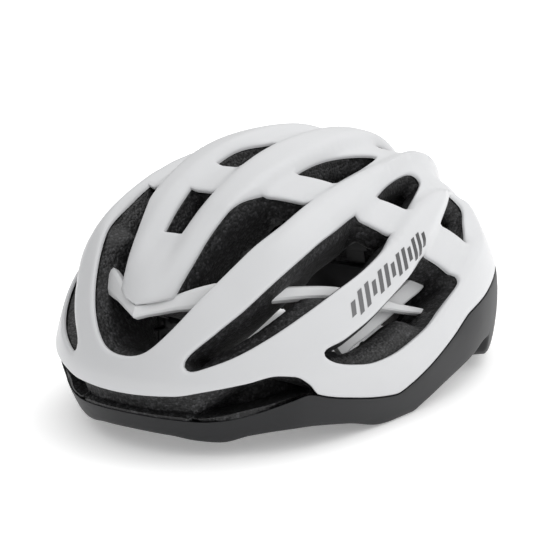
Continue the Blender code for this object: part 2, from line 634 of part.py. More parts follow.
def pads():
    for name, points in SIDE_PADS.items():
        pad(f"{name}_left", outline(points))
        pad(f"{name}_right", outline(flipped(points)))
    pad("top_pad", outline(TOP_PAD))
    turn = np.radians(np.linspace(-BROW_PAD_TURN, BROW_PAD_TURN, 15))
    way = np.stack([np.sin(turn), -np.cos(turn)], 1)
    pad("brow_pad", np.vstack([way * BROW_PAD_ANGLES[0], way[::-1] * BROW_PAD_ANGLES[1]]))


# ---------------------------------------------------------------- retention cradle

def turned(name, rings, look, origin=(0, 0, 0), axis="y", scallops=0, depth=0.0, sides=30):
    """A solid turned about an axis from (place, radius) rings, with caps at both ends."""
    points = []
    for place, radius in rings:
        for k in range(sides):
            turn = math.tau * k / sides
            wave = depth * (0.5 + 0.5 * math.cos(scallops * turn)) if radius > KNOB_RADIUS * 0.95 else 0
            u, v = (radius - wave) * math.cos(turn), (radius - wave) * math.sin(turn)
            points.append((origin[0] + u, origin[1] + place, origin[2] + v) if axis == "y"
                          else (origin[0] + place, origin[1] + u, origin[2] + v))
    faces = []
    for i in range(0, (len(rings) - 1) * sides, sides):
        for j in range(sides):
            k = (j + 1) % sides
            faces.append((i + j, i + k, i + sides + k, i + sides + j))
    last = (len(rings) - 1) * sides
    faces += [tuple(range(sides - 1, -1, -1)), tuple(last + j for j in range(sides))]
    return solid(name, points, faces, look)


def pinion():
    """Toothed wheel on the knob's stub, with a tooth pointing straight up."""
    shape = []
    pitch = math.tau / TEETH
    tip, root = PITCH_RADIUS + ADDENDUM, PITCH_RADIUS - DEDENDUM
    for k in range(TEETH):
        middle = math.pi / 2 + k * pitch
        for radius, share in ((root, -0.32), (tip, -0.12), (tip, 0.12), (root, 0.32)):
            turn = middle + share * pitch
            shape.append((radius * math.cos(turn), DIAL_Z + radius * math.sin(turn)))
    gear = prism("pinion", shape, DIAL_Y - 0.0016, DIAL_Y + 0.0016, "y", PLASTIC_BLACK)
    bore_shape = circle(0, DIAL_Z, STUB_RADIUS + SHAFT_PLAY, 20)
    bore = prism("pinion_bore", bore_shape, DIAL_Y - 0.003, DIAL_Y + 0.003, "y", PLASTIC_BLACK)
    cut(gear, bore)
    return gear


def rack_shape(side):
    """Outline of a rack in X and Z: the left band's runs over the pinion, the right band's under it."""
    pitch = math.tau * PITCH_RADIUS / TEETH
    tip, root = PITCH_RADIUS - ADDENDUM, PITCH_RADIUS + DEDENDUM
    flank = 0.25 * pitch - BACKLASH / 2
    points = [(-RACK_TIP, root + RACK_BACK), (-RACK_TIP, root)]
    for k in range(-4, 9):
        gap = (k + 0.5) * pitch
        if -RACK_TIP + pitch * 0.6 < gap < RACK_ROOT - 0.012:
            points += [(gap - flank - 0.00020, root), (gap - flank + 0.00032, tip)]
            points += [(gap + flank - 0.00032, tip), (gap + flank + 0.00020, root)]
    points += [(RACK_ROOT, root), (RACK_ROOT, root + RACK_BACK)]
    return [(side * x, DIAL_Z + side * z) for x, z in points]


def band(name, side):
    """A side band: its rack in the housing, the strip round the head and the eye on the temple pin."""
    route = spline(np.array(BAND_ROUTE) * 1000, 30) / 1000 * (side, 1, 1)
    strip = sweep(name, route, (0, 0, 1), flat_section(BAND_HEIGHT, BAND_THICKNESS), PLASTIC_BLACK)
    half = BAND_THICKNESS / 2
    rack = prism(f"{name}_rack", rack_shape(side), DIAL_Y - half, DIAL_Y + half, "y", PLASTIC_BLACK)
    tab_shape = rounded_box(side * TAB_X, DIAL_Z, TAB_HALF, BAND_HEIGHT / 2 + TAB_LIP, 0.0006)
    tab = prism(f"{name}_tab", tab_shape, DIAL_Y - half, DIAL_Y + half, "y", PLASTIC_BLACK)
    low, high = sorted((side * (BAND_ROUTE[-1][0] - half), side * (BAND_ROUTE[-1][0] + half)))
    eye = prism(f"{name}_eye", circle(PIN_Y, PIN_Z, EYE_RADIUS, 20), low, high, "x", PLASTIC_BLACK)
    hole_shape = circle(PIN_Y, PIN_Z, PIN_RADIUS + SHAFT_PLAY, 20)
    hole = prism(f"{name}_hole", hole_shape, low - 0.004, high + 0.004, "x", PLASTIC_BLACK)
    for extra in (rack, tab, eye):
        cut(strip, extra, "UNION")
    cut(strip, hole)
    return strip


def temple_pin(name, side):
    """Flanged pin on the liner's wall; the band's eye turns on it and slides along it."""
    rings = [(0, PIN_FLANGE), (-0.0014, PIN_FLANGE), (-0.0014, PIN_RADIUS), (-PIN_REACH, PIN_RADIUS),
             (-PIN_REACH, PIN_HEAD), (-PIN_REACH - 0.0010, PIN_HEAD), (-PIN_REACH - 0.0016, PIN_RADIUS)]
    rings = [(side * x, radius) for x, radius in rings]
    turned(name, rings, PLASTIC_BLACK, (side * PIN_X, PIN_Y, PIN_Z), "x", sides=20)


def dial_housing():
    """Open-backed tray that the two racks cross in, and its cover."""
    half, wall = HOUSING_HEIGHT / 2, WALL
    front, back = DIAL_Y - HOUSING_DEPTH / 2, DIAL_Y + HOUSING_DEPTH / 2 - wall - GAP
    shape = rounded_box(0, DIAL_Z, HOUSING_HALF, half, 0.004)
    tray = prism("dial_housing", shape, front, back, "y", PLASTIC_BLACK)
    low, high, end = DIAL_Z - half + wall, DIAL_Z + half - wall, HOUSING_HALF + 0.02
    channel_shape = [(-end, low), (end, low), (end, high), (-end, high)]
    channel = prism("housing_channel", channel_shape, front + wall, back + 0.003, "y", PLASTIC_BLACK)
    cut(tray, channel)
    cover = prism("dial_cover", shape, back + GAP, back + GAP + wall, "y", PLASTIC_BLACK)
    hole_shape = circle(0, DIAL_Z, SHAFT_RADIUS + SHAFT_PLAY, 20)
    cut(cover, prism("cover_hole", hole_shape, back - 0.002, back + 0.006, "y", PLASTIC_BLACK))


def dial_knob():
    """Knurled knob behind the cover, with its shaft and the stub for the pinion."""
    face = DIAL_Y + HOUSING_DEPTH / 2 + 0.0004
    rings = [(DIAL_Y - 0.0020, STUB_RADIUS), (DIAL_Y + 0.0019, STUB_RADIUS), (DIAL_Y + 0.0019, SHAFT_RADIUS),
             (face, SHAFT_RADIUS), (face, KNOB_RADIUS * 0.90), (face + 0.0010, KNOB_RADIUS),
             (face + KNOB_DEPTH - 0.0022, KNOB_RADIUS), (face + KNOB_DEPTH, KNOB_RADIUS * 0.80)]
    centre = (0, 0, DIAL_Z)
    return turned("dial_knob", rings, PLASTIC_BLACK, centre, "y", scallops=12, depth=0.0010, sides=36)


def strip_at(degrees, radius=STRIP_RADIUS):
    turn = np.radians(np.asarray(degrees, float))
    return np.stack([0 * turn, PIN_Y + radius * np.cos(turn), PIN_Z + radius * np.sin(turn)], -1)


def height_strip():
    """Arc about the temple pins that rises from the housing through its guide on the liner."""
    route = strip_at(np.linspace(*STRIP_ANGLES, 9))
    sweep("height_strip", route, (1, 0, 0), flat_section(STRIP_WIDTH, STRIP_THICKNESS), PLASTIC_BLACK)
    body = sweep("height_guide", strip_at(GUIDE_ANGLES, STRIP_RADIUS + GUIDE_DEPTH / 2 - 0.0022), (1, 0, 0),
                 flat_section(STRIP_WIDTH + 0.0060, GUIDE_DEPTH), PLASTIC_BLACK)
    low, high = GUIDE_ANGLES
    slot = sweep("guide_slot", strip_at(np.linspace(low - 2, high + 2, 5)), (1, 0, 0),
                 flat_section(STRIP_WIDTH, STRIP_THICKNESS, grow=0.0005), PLASTIC_BLACK)
    cut(body, slot)


def occipital_cradle():
    """Curved support on the head side of the housing, with a soft pad at each end."""
    route = spline(np.array(CRADLE_ROUTE) * 1000, 21) / 1000
    sweep("occipital_cradle", route, (0, 0, 1), flat_section(CRADLE_HEIGHT, CRADLE_THICKNESS, 0.0004),
          PLASTIC_BLACK)
    away = CRADLE_PAD / 2 + CRADLE_THICKNESS / 2 + 2 * GAP
    for name, run in (("cradle_pad_left", route[14:]), ("cradle_pad_right", route[:7])):
        inward = run + unit(np.array([0, 0, PIN_Z]) - run) * (1, 1, 0) * away
        sweep(name, inward, (0, 0, 1), flat_section(CRADLE_HEIGHT + 0.002, CRADLE_PAD, 0.0010), PAD_GREY)


def retention():
    dial_housing()
    set_origin(dial_knob(), (0, DIAL_Y, DIAL_Z))
    set_origin(pinion(), (0, DIAL_Y, DIAL_Z))
    height_strip()
    occipital_cradle()
    for name in ("dial_housing", "dial_cover", "height_strip", "occipital_cradle", "cradle_pad_left",
                 "cradle_pad_right"):
        set_origin(bpy.data.objects[name], (0, PIN_Y, PIN_Z))
    for name, side in (("left", 1), ("right", -1)):
        band(f"side_band_{name}", side)
        temple_pin(f"temple_pin_{name}", side)


# ---------------------------------------------------------------- straps

def wall_point(y, z, inset):
    """The point at this y and z that is the inset away from the cavity's left wall."""
    c, s = math.cos(RAKE), math.sin(RAKE)
    dy, dz = y - HUB_Y, z - HUB_Z
    along, up = dy * c - dz * s, dy * s + dz * c
    share = 1 - abs(along / CAVITY_HALF[1]) ** CAVITY_POWER - abs(up / CAVITY_HALF[2]) ** CAVITY_POWER
    return CAVITY_HALF[0] * share ** (1 / CAVITY_POWER) - inset, y, z


def box(name, centre, size, look, radius=0.0012):
    """A block with round vertical edges."""
    shape = rounded_box(centre[0], centre[1], size[0] / 2, size[1] / 2, radius)
    return prism(name, shape, centre[2] - size[2] / 2, centre[2] + size[2] / 2, "z", look)


def strap_set(name, side):
    """One side's webbing with its anchors, divider and cam lever."""
    section = flat_section(WEBBING_WIDTH, WEBBING_THICKNESS)
    mirror = np.array([side, 1, 1])
    for label, run, count in (("front_strap", FRONT_STRAP, 7), ("rear_strap", REAR_STRAP, 12)):
        route = np.array([wall_point(y, z, WALL_INSET) for y, z in run])
        blend = np.linspace(0, 1, len(route))
        route[:, 0] = route[:, 0] * (1 - blend**3) + DIVIDER_X * blend**3
        route = spline(route * 1000, count) / 1000 * mirror
        sweep(f"{label}_{name}", route, (0, 0, 1), section, WEB_BLACK)
    for label, (y, z) in (("front_anchor", FRONT_ANCHOR), ("rear_anchor", REAR_ANCHOR)):
        ends = np.array([wall_point(y + k * ANCHOR_LENGTH / 2, z, ANCHOR_INSET) for k in (-1, 1)])
        plate = flat_section(ANCHOR_HEIGHT, ANCHOR_DEPTH, 0.0006)
        sweep(f"{label}_{name}", ends * mirror, (0, 0, 1), plate, PLASTIC_BLACK)
    box(f"strap_divider_{name}", (side * DIVIDER_X, DIVIDER_Y, DIVIDER_Z), DIVIDER_SIZE, PLASTIC_BLACK)
    lever_x = DIVIDER_X - DIVIDER_SIZE[0] / 2 - GAP - LEVER_SIZE[0] / 2
    middle = (side * lever_x, DIVIDER_Y, LEVER_Z)
    lever = box(f"divider_lever_{name}", middle, LEVER_SIZE, PLASTIC_BLACK, 0.0005)
    set_origin(lever, (side * lever_x, DIVIDER_Y, LEVER_Z - LEVER_SIZE[2] / 2))
    route = spline(np.array(CHIN_STRAP) * 1000, 16) / 1000 * mirror
    if side < 0:
        route[:, 0] += (FEMALE_X[1] + MALE_X[0]) * np.linspace(0, 1, len(route)) ** 2
    sweep(f"chin_strap_{name}", route, (0, 1, 0), section, WEB_BLACK)


def block(ends, half):
    """Outline of half of the buckle between two places along X."""
    return rounded_box(sum(ends) / 2, 0, (ends[1] - ends[0]) / 2, half, 0.003)


def buckle():
    """Side-release buckle at the middle: socket on the left strap, pronged half on the right strap."""
    half, wall, tall = BUCKLE_WIDTH / 2, BUCKLE_WALL, BUCKLE_HEIGHT / 2
    low, high = BUCKLE_Z - tall, BUCKLE_Z + tall
    female = prism("buckle_socket", block(FEMALE_X, half), low, high, "z", PLASTIC_BLACK)
    start, end = FEMALE_X[0] - 0.01, FEMALE_X[1] - 0.007
    mouth = [(start, wall - half), (end, wall - half), (end, half - wall), (start, half - wall)]
    cut(female, prism("socket_mouth", mouth, low + wall, high - wall, "z", PLASTIC_BLACK))
    reach = half + 0.01
    window = [(WINDOW_X[0], -reach), (WINDOW_X[1], -reach), (WINDOW_X[1], reach), (WINDOW_X[0], reach)]
    cut(female, prism("socket_window", window, low + wall, high - wall, "z", PLASTIC_BLACK))
    arm, root = half - wall - GAP, MALE_X[1]
    upper = [(root + 0.001, GUIDE_HALF), (root + 0.001, arm - 0.0035), (0.0110, arm - 0.0026),
             (PRONG_REACH, arm - 0.0036), (PRONG_REACH, arm - 0.0004), (0.0150, arm), (0.0130, arm - GAP),
             (root - 0.002, arm - GAP)]
    middle = [(PRONG_REACH - 0.003, -GUIDE_HALF + GAP), (PRONG_REACH - 0.003, GUIDE_HALF - GAP)]
    prongs = [(x, -y) for x, y in reversed(upper)] + middle + upper
    male = prism("buckle_plug", block(MALE_X, half), low, high, "z", PLASTIC_BLACK)
    rise = wall + 0.0005
    cut(male, prism("plug_prongs", prongs, low + rise, high - rise, "z", PLASTIC_BLACK), "UNION")
    set_origin(male, (MALE_X[1], 0, BUCKLE_Z))
    outer = rounded_box(0, BUCKLE_Z, 0.0096, 0.0026, 0.0010)
    hole = rounded_box(0, BUCKLE_Z, 0.0081, 0.0014, 0.0004)
    ring = prism("strap_keeper", outer, *KEEPER_X, "x", PLASTIC_BLACK)
    cut(ring, prism("keeper_hole", hole, KEEPER_X[0] - 0.002, KEEPER_X[1] + 0.002, "x", PLASTIC_BLACK))


def straps():
    for name, side in (("left", 1), ("right", -1)):
        strap_set(name, side)
    buckle()


# ---------------------------------------------------------------- start

def clear():
    for old in list(bpy.data.objects):
        bpy.data.objects.remove(old, do_unlink=True)


def main():
    clear()
    vents = vent_loops()
    shell_and_liner(vents)
    lower_shell()
    cage_bars(0.0, "")
    pads()
    retention()
    straps()


main()
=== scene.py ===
"""Looks of a vented road cycling helmet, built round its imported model.

Metres, +Z up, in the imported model's frame: the front points along -Y and the wearer's left is +X.

Shapes on the dome are drawn on a flat map in degrees: (a, b) is a direction from the hub, a to the wearer's
left and b towards the back, and its distance from (0, 0) is the angle from the crown.
"""

import json
import math

import bmesh
import bpy
import numpy as np
from mathutils import Matrix, Vector
from mathutils.geometry import delaunay_2d_cdt

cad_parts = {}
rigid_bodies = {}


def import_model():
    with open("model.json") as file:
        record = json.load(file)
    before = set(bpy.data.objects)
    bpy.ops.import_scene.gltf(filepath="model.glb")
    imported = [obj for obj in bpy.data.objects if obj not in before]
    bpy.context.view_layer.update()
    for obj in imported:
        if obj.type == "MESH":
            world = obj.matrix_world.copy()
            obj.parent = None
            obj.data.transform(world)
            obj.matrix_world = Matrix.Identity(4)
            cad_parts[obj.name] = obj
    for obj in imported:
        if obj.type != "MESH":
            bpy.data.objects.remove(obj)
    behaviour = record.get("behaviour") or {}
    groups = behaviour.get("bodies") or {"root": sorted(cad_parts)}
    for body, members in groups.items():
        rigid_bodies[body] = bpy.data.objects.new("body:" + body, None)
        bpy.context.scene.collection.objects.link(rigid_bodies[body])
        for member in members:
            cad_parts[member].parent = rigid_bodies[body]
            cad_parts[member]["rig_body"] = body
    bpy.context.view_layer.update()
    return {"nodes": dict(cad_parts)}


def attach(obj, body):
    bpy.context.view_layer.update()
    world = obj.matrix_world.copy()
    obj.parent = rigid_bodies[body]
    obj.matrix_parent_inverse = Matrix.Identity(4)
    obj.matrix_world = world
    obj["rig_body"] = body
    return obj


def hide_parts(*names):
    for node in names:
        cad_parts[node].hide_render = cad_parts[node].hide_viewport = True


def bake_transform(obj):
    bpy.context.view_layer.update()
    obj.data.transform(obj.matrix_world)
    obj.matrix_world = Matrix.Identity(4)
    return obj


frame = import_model()

# ---------------------------------------------------------------- driving values

# Dome: semi-axes of the outer surface at the hub, and how each grows towards the back of the helmet.
HALF_WIDTH, WIDTH_GROWTH = 0.0977, 0.0065
HALF_LENGTH, LENGTH_GROWTH = 0.1430, -0.0021
CROWN_HEIGHT, HEIGHT_GROWTH = 0.1269, 0.0050
DOME_POWER = 2.25
# The dome's lower part is tucked in: by how much, in front and behind, and the height under which it is.
TUCK_FRONT, TUCK_BACK, TUCK_POWER = (0.10, 0.032), (0.09, 0.050), 1.3
CAVITY_HALF = (0.0750, 0.1060, 0.0970)
CAVITY_POWER = 2.2
RAKE = math.radians(2.0)
HUB_Y, HUB_Z = 0.00203, 0.0016

# Relief of the outer surface, the shells' thickness and rolled edges, and the rim band's flange.
RIB_RISE = 0.0043
SHELL_THICKNESS, EDGE_THICKNESS = 0.0014, 0.0008
ROLL_DROP, ROLL_WIDTH = 0.0014, 0.90
RIM_DROP, RIM_WIDTH = 0.0009, 0.50
FLANGE_WIDTH, RIM_WALL = 0.009, 0.0016

# Mesh steps in degrees of the map.
FINE_STEP, SHELL_GRID, FOAM_GRID = 0.85, 1.3, 2.3

# Vents on the wearer's left, as (a, b) or (a, b, 1) at a sharp corner; those on the centre plane give a half.
FRONT_VENT_HALF = [(0, -73.4), (6, -72), (11, -66.8), (15.3, -58.8), (18.9, -49.5), (21.5, -39),
                   (22.9, -26.6, 1), (13.2, -31.5, 1), (11, -37.8), (9.5, -46.5), (8.8, -53),
                   (7.9, -58.4), (7.4, -61.2, 1), (3.8, -63), (0, -64.1, 1)]
CENTRE_HOLE_HALF = [(0, -47.6), (2.4, -47.6, 1), (3.4, -34.8, 1), (0, -34.8)]
CENTRE_VENT_HALF = [(0, -24), (3.6, -24, 1), (3.5, -16), (2.3, -9), (0, -5.5)]
REAR_VENT_HALF = [(0, 24), (3.4, 24, 1), (4.4, 35), (3.2, 45), (0, 47)]
SIDE_VENTS = {
    "vent_1_rear": [(14.6, -19.6, 1), (22.7, -14.4, 1), (22.3, -3), (21, 6), (19.4, 9.9), (17.6, 6),
                    (15.6, -4)],
    "vent_2": [(16.3, -70.4), (20.7, -64.2), (25, -56.4), (28.8, -45), (30.9, -33), (31.7, -19.3, 1),
               (40.1, -12.1, 1), (42, -21), (41.9, -31), (39.8, -41), (36.6, -50.5), (32.2, -59.2),
               (26.4, -66.6), (19.4, -71.9), (16.4, -72.5)],
    "vent_2_rear": [(30.7, -6.7, 1), (36.5, 1.9, 1), (33, 11), (29.3, 18), (27.2, 15), (28.5, 4)],
    "vent_3": [(45.2, -53.4), (48.6, -46), (51.2, -34), (51.2, -17), (48.4, -1.1, 1), (54.4, 9.4),
               (57.2, 10.4), (59.6, 6.4), (63.2, -6.6), (64.8, -18), (63.4, -32), (59.4, -42.4), (54, -49.2),
               (48.6, -53.4)],
    "vent_3_rear": [(42.1, 13.9, 1), (45.9, 27.8, 1), (38.6, 34), (33.8, 36.6), (32.5, 30), (37.2, 22.2)],
    "vent_1_tail": [(12.2, 22), (17.4, 21), (18.6, 31), (16.2, 41), (12, 45.4), (10.4, 35)],
}
# Sunken lanes that join the vents: a route on the map, half-widths of the floor and of the whole lane, and
# the depth, which fades in and out over a stretch at the two ends.
LANES = [
    ([(0, -62), (0, -40), (0, -10), (0, 20), (0, 50)], 1.6, 6.4, 0.0050),
    ([(16, -47), (17.6, -30), (19, -12), (18.4, 8), (15.4, 27), (12.6, 52)], 3.2, 6.8, 0.0058),
    ([(35, -36), (36.6, -18), (33.4, -2), (29, 17), (26.8, 37), (22, 54)], 3.2, 6.6, 0.0056),
    ([(57.4, -18), (56, -8), (52, 4), (44, 21), (35.4, 35), (32, 46)], 4.2, 8.4, 0.0054),
]
LANE_FADE = 13.0
# Crests of the ribs: a route on the map with its extra rise, and the reach to either side.
CRESTS = [
    ([(23.5, -58, 0), (25.2, -44, 0.0026), (27.5, -25, 0.0004), (26.6, -8, 0), (25, 8, 0.0018),
      (22.8, 22, 0.0036), (21, 36, 0.0020), (20, 50, 0)], 9.0),
    ([(40.5, 4, 0), (36.5, 20, 0.0010), (29.5, 36, 0.0030), (30.5, 48, 0.0006), (33, 60, 0)], 9.0),
]
# Nose of the centre rib: how far its sides and its tip droop, and where on the map they start and stop.
NOSE_DROOP, NOSE_HALF, NOSE_TIP = 0.0054, 7.5, 0.0009
NOSE_SIDE, NOSE_FRONT, NOSE_START, NOSE_TIP_START = 11.5, -66.5, -40, -55
# Channels under the lanes, on the cavity's side: half-widths of floor and lane, the foam left over them, and
# how far to the side they run.
CHANNEL_FLOOR, CHANNEL_REACH, BRIDGE_FOAM, HOLLOW_END = 2.6, 5.2, 0.0105, 47
# Walls of the vents in the foam: how far they lean in at most, on the lower sides of the second and third
# vents and elsewhere, and the depth at which they have done so.
LOW_WALL, WALL_LEAN, LEAN_DEPTH = 6.0, 1.1, 0.009
# Where the second and third vents' lower walls stop leaning further, and the map's line between the two.
LOW_WALL_REAR, THIRD_VENT_SIDE = (-41, -12), 43
# Foam: its gap to the white shell, how far it steps in below that shell's edge and stands off a vent's edge,
# its layers by share of the depth, and the round edge at the cavity.
FOAM_GAP, FOAM_STEP, VENT_GAP, RIM_RISE, MOUTH_FLARE = 0.0006, 0.0012, 0.12, 0.0062, 0.45
FOAM_LAYERS = (0, 0.04, 0.1, 0.18, 0.28, 0.4, 0.55, 0.7, 0.82, 0.9, 0.96, 1.0)

# Edges round the helmet: azimuth from the front in degrees, then the angle from the crown.
WHITE_EDGE = [(0, 80), (11, 79.4), (16, 78.3), (24, 76.4), (30, 74.9), (33.5, 75.1), (36.6, 76.8),
              (38.6, 79), (48, 80.9), (57.5, 82.2), (63.7, 82.6), (69, 80.9), (75.5, 78), (90, 71.2),
              (101.6, 67.6), (112.6, 66.9), (128, 66.1), (138, 66.6), (150, 67), (165, 67.5), (180, 68)]
SLOT_FOOT = [(0, 84.1), (7, 84.2), (15, 84.4), (19.4, 84), (25.7, 82.5), (32.6, 80.2), (36.8, 79),
             (38.6, 79.3)]
SLOT_END, SEAM_ANGLE = 38.6, 0.3
# Height of the lower rim against the hub, by azimuth.
RIM_HEIGHT = [(0, 0.0050), (8, 0.0043), (13, 0.0022), (18, 0.0012), (24, 0.0045), (35, 0.0065), (47, 0.0035),
              (60, -0.0028), (73, -0.0034), (80, 0.0010), (90, 0.0080), (105, 0.0160), (113, 0.0205),
              (118, 0.0205), (121.5, 0.0105), (124.5, 0.0078), (140, 0.0078), (147, 0.0092), (154, 0.0100),
              (158, 0.0062), (161.5, 0.0026), (171, 0.0026), (175, 0.0075), (180, 0.0100)]
# How far the rim band is set in under the brow, and the roll of its top edge by share of its height.
BROW_INSET = 0.0028
BAND_TOP_ROLL = [(0.0, -0.0009), (0.003, -0.0004), (0.012, -0.0001), (0.04, 0.0)]

# Brow slot: its depth, a facet that turns in before each duct, and the duct's mouth, as azimuths with the
# share of the way from the white edge to the slot's foot.
SLOT_DEPTH, FACET_DEPTH, FACET_START, FACET_REACH = 0.0050, 0.0038, 13.4, 6.5
DUCT_MOUTH = [(13.2, 0.82, 1), (15.8, 0.54), (20.2, 0.12), (23.0, -0.3, 1), (39.6, -0.3, 1), (39.0, 0.5),
              (36.6, 0.86), (33, 0.86), (27, 0.84), (20, 0.83), (15.4, 0.86)]
DUCT_DEPTH, DUCT_WALL = 0.0190, 0.6

# Cage, on the map with the height against the bare dome: a straight arm from the centre, then a side run.
CAGE_ARM = [(0, -65.3, -0.0002), (15.8, -57.2, -0.0066)]
CAGE_SIDE = [(15.8, -57.2, -0.0066), (21.5, -54.2, -0.0098), (27, -50.6, -0.0102), (33, -45.3, -0.0102),
             (39.2, -38.9, -0.0102), (46, -31.5, -0.0106), (52.5, -23.6, -0.0110), (58.5, -12.6, -0.0110),
             (63.4, 1.4, -0.0110), (65.6, 8, -0.0110)]
CAGE_WIDTH, CAGE_THICKNESS, CAGE_BEVEL, VERTEX_MITRE = 0.0075, 0.0052, 0.0011, 1.12
# Taper of the hoop, by the share of the way from the centre plane to its ends.
HOOP_WIDTHS = [(0, 0.74), (0.03, 0.86), (0.05, 0.96), (0.07, 1.28), (0.1, 1.42), (0.16, 1.40), (0.22, 1.0),
               (0.32, 0.84), (0.6, 0.80), (0.70, 0.60), (1, 0.4)]
HOOP_DEPTHS = [(0, 0.78), (0.2, 0.8), (0.3, 1.0), (0.6, 0.9), (0.7, 0.7), (1, 0.6)]
STRUT_ROUTE = [(49.8, -47, -0.0185), (51.3, -42, -0.0185), (53.6, -33, -0.0185), (54.9, -21.7, -0.0185),
               (54.8, -9.7, -0.0185), (53.3, 3.1, -0.0185), (51.6, 9, -0.0185)]
STRUT_WIDTH, STRUT_THICKNESS, STRUT_BEVEL, BAR_ROUND = 0.0110, 0.0036, 0.0009, 0.0003
STRUT_WIDTHS = [(0, 0.95), (0.12, 0.72), (0.6, 0.70), (1, 0.80)]

# Pads on the cavity wall: outlines on the map for the wearer's left, each with its pressed channel.
PAD_STANDOFF, PAD_EDGE, PAD_CROWN = 0.0010, 0.0012, 0.0042
PAD_SHOULDER, PAD_GRID, CHANNEL_HALF = 2.4, 1.1, 0.5
SIDE_PADS = {
    "temple_pad": ([(43.9, -36), (49.4, -35), (49.8, -18), (47.4, -4), (43.2, -8), (44.6, -20)],
                   [(44, -20), (50, -19)]),
    "crown_pad": ([(24.2, -42), (28.4, -40), (30, -26), (29.6, -10), (26.6, 3), (24, 0), (24.4, -16)],
                  [(24, -20), (31, -20)]),
}
TOP_PAD = [(-8.5, 0), (8.5, 0), (8.5, 18), (-8.5, 18)]
BROW_PAD_ANGLES, BROW_PAD_TURN = (74.8, 83.6), 42

# Cradle cushions and webbing, in metres, as in the model; routes are for the wearer's left.
PIN_Z = 0.0260
CRADLE_ROUTE = [(-0.0400, 0.0630, 0.0225), (-0.0220, 0.0728, 0.0205), (0.0000, 0.0764, 0.0200),
                (0.0220, 0.0728, 0.0205), (0.0400, 0.0630, 0.0225)]
CRADLE_HEIGHT, CRADLE_THICKNESS, CRADLE_PAD = 0.0140, 0.0020, 0.0040
WEBBING_WIDTH, WEBBING_THICKNESS, WALL_INSET, DIVIDER_X = 0.0150, 0.0016, 0.0040, 0.0698
FRONT_STRAP = [(-0.0492, 0.0140), (-0.0420, 0.0138), (-0.0300, 0.0132), (-0.0200, 0.0130)]
REAR_STRAP = [(0.0620, 0.0322), (0.0500, 0.0306), (0.0330, 0.0262), (0.0150, 0.0190), (0.0040, 0.0140),
              (-0.0010, 0.0130), (-0.0034, 0.0130)]
CHIN_STRAP = [(0.0690, -0.0120, 0.0042), (0.0600, -0.0105, 0.0044), (0.0500, -0.0050, 0.0060),
              (0.0420, -0.0008, 0.0082), (0.0380, 0.0000, 0.0085), (0.0314, 0.0000, 0.0085)]
BUCKLE_SHIFT = 0.0130
# Hard fittings that keep the model's shape, with the width of their round edges.
FITTING_EDGES = {"dial_housing": 0.0004, "dial_cover": 0.0004, "dial_knob": 0.0004, "pinion": 0.00008,
                 "height_strip": 0.0003, "height_guide": 0.0005, "occipital_cradle": 0.0004,
                 "side_band": 0.00012, "temple_pin": 0.0002, "front_anchor": 0.0005, "rear_anchor": 0.0005,
                 "strap_divider": 0.0005, "divider_lever": 0.0003, "buckle_socket": 0.0006,
                 "buckle_plug": 0.0002, "strap_keeper": 0.0003}

# Marks on the third rib: slanted bars along a route on the map, every third one short, with half their
# length, their lean, their share of the pitch, the film's height, and the stretch of y over which its tone
# changes.
MARK_ROUTE = [(45.4, -41.6), (46.2, -36.5), (47.1, -24), (46.9, -12.5), (45.4, -1.4)]
MARK_BARS, MARK_HALF, MARK_LEAN, MARK_SHARE, MARK_PROUD = 13, 2.25, 1.3, 0.56, 0.00012
MARK_REACH, MARK_SHORT = (-0.070, 0.000), 0.62

# Studio: the direction of the bright side, the cosines to it between which the surround brightens, its
# dimmest and brightest levels, the floor, and the lamp's place, size, power and aim.
BRIGHT_SIDE, BRIGHT_SPAN, DIM_LEVEL, BRIGHT_LEVEL = (0.40, 0.35, 1.0), (-0.35, 0.95), 0.30, 1.40
FLOOR_TONE, FLOOR_GLOW, FLOOR_SIZE, FLOOR_GAP = 0.95, 0.26, 14, 0.0002
LAMP_PLACE, LAMP_SIZE, LAMP_POWER, LAMP_AIM = (0.60, 0.45, 1.30), 1.0, 2.5, (0, 0, 0.05)

# Camera: where it stands and what it looks at.
CAMERA_PLACE, CAMERA_TARGET = (0.39952, -0.64069, 0.24839), (-0.01272, 0.01294, 0.05062)
CAMERA_ROLL, CAMERA_LENS = math.radians(-1.19), 96.09


# ---------------------------------------------------------------- map and dome

def pairs(points):
    return np.array([p[:2] for p in points], float)


def directions(ab):
    angle = np.hypot(ab[:, 0], ab[:, 1])
    turn = np.radians(angle)
    share = np.where(angle > 1e-9, np.sin(turn) / np.maximum(angle, 1e-9), math.pi / 180)
    return np.stack([ab[:, 0] * share, ab[:, 1] * share, np.cos(turn)], 1)


def to_world(points):
    """Points round the hub, leant by the rake and raised onto the ground."""
    c, s = math.cos(RAKE), math.sin(RAKE)
    x, y, z = points.T
    return np.stack([x, HUB_Y + y * c + z * s, HUB_Z - y * s + z * c], 1)


def superellipsoid(d, half, power):
    return ((abs(d) / half) ** power).sum(1) ** (-1 / power)


def smoothstep(x):
    x = np.clip(x, 0, 1)
    return x * x * (3 - 2 * x)


def ease(x, knots):
    """A smooth curve through the knots that never overshoots them."""
    xs, ys = np.array(knots, float).T
    slope = np.diff(ys) / np.diff(xs)
    product, total = slope[1:] * slope[:-1], slope[1:] + slope[:-1]
    inner = np.where(product > 0, 2 * product / (total + 1e-30), 0)
    tangent = np.concatenate([[0], inner, [0]])
    x = np.clip(x, xs[0], xs[-1])
    i = np.clip(np.searchsorted(xs, x, side="right") - 1, 0, len(xs) - 2)
    h = xs[i + 1] - xs[i]
    t = (x - xs[i]) / h
    return ((2 * t**3 - 3 * t**2 + 1) * ys[i] + (t**3 - 2 * t**2 + t) * h * tangent[i]
            + (3 * t**2 - 2 * t**3) * ys[i + 1] + (t**3 - t**2) * h * tangent[i + 1])


def azimuth(ab):
    return abs(np.degrees(np.arctan2(ab[:, 0], -ab[:, 1])))


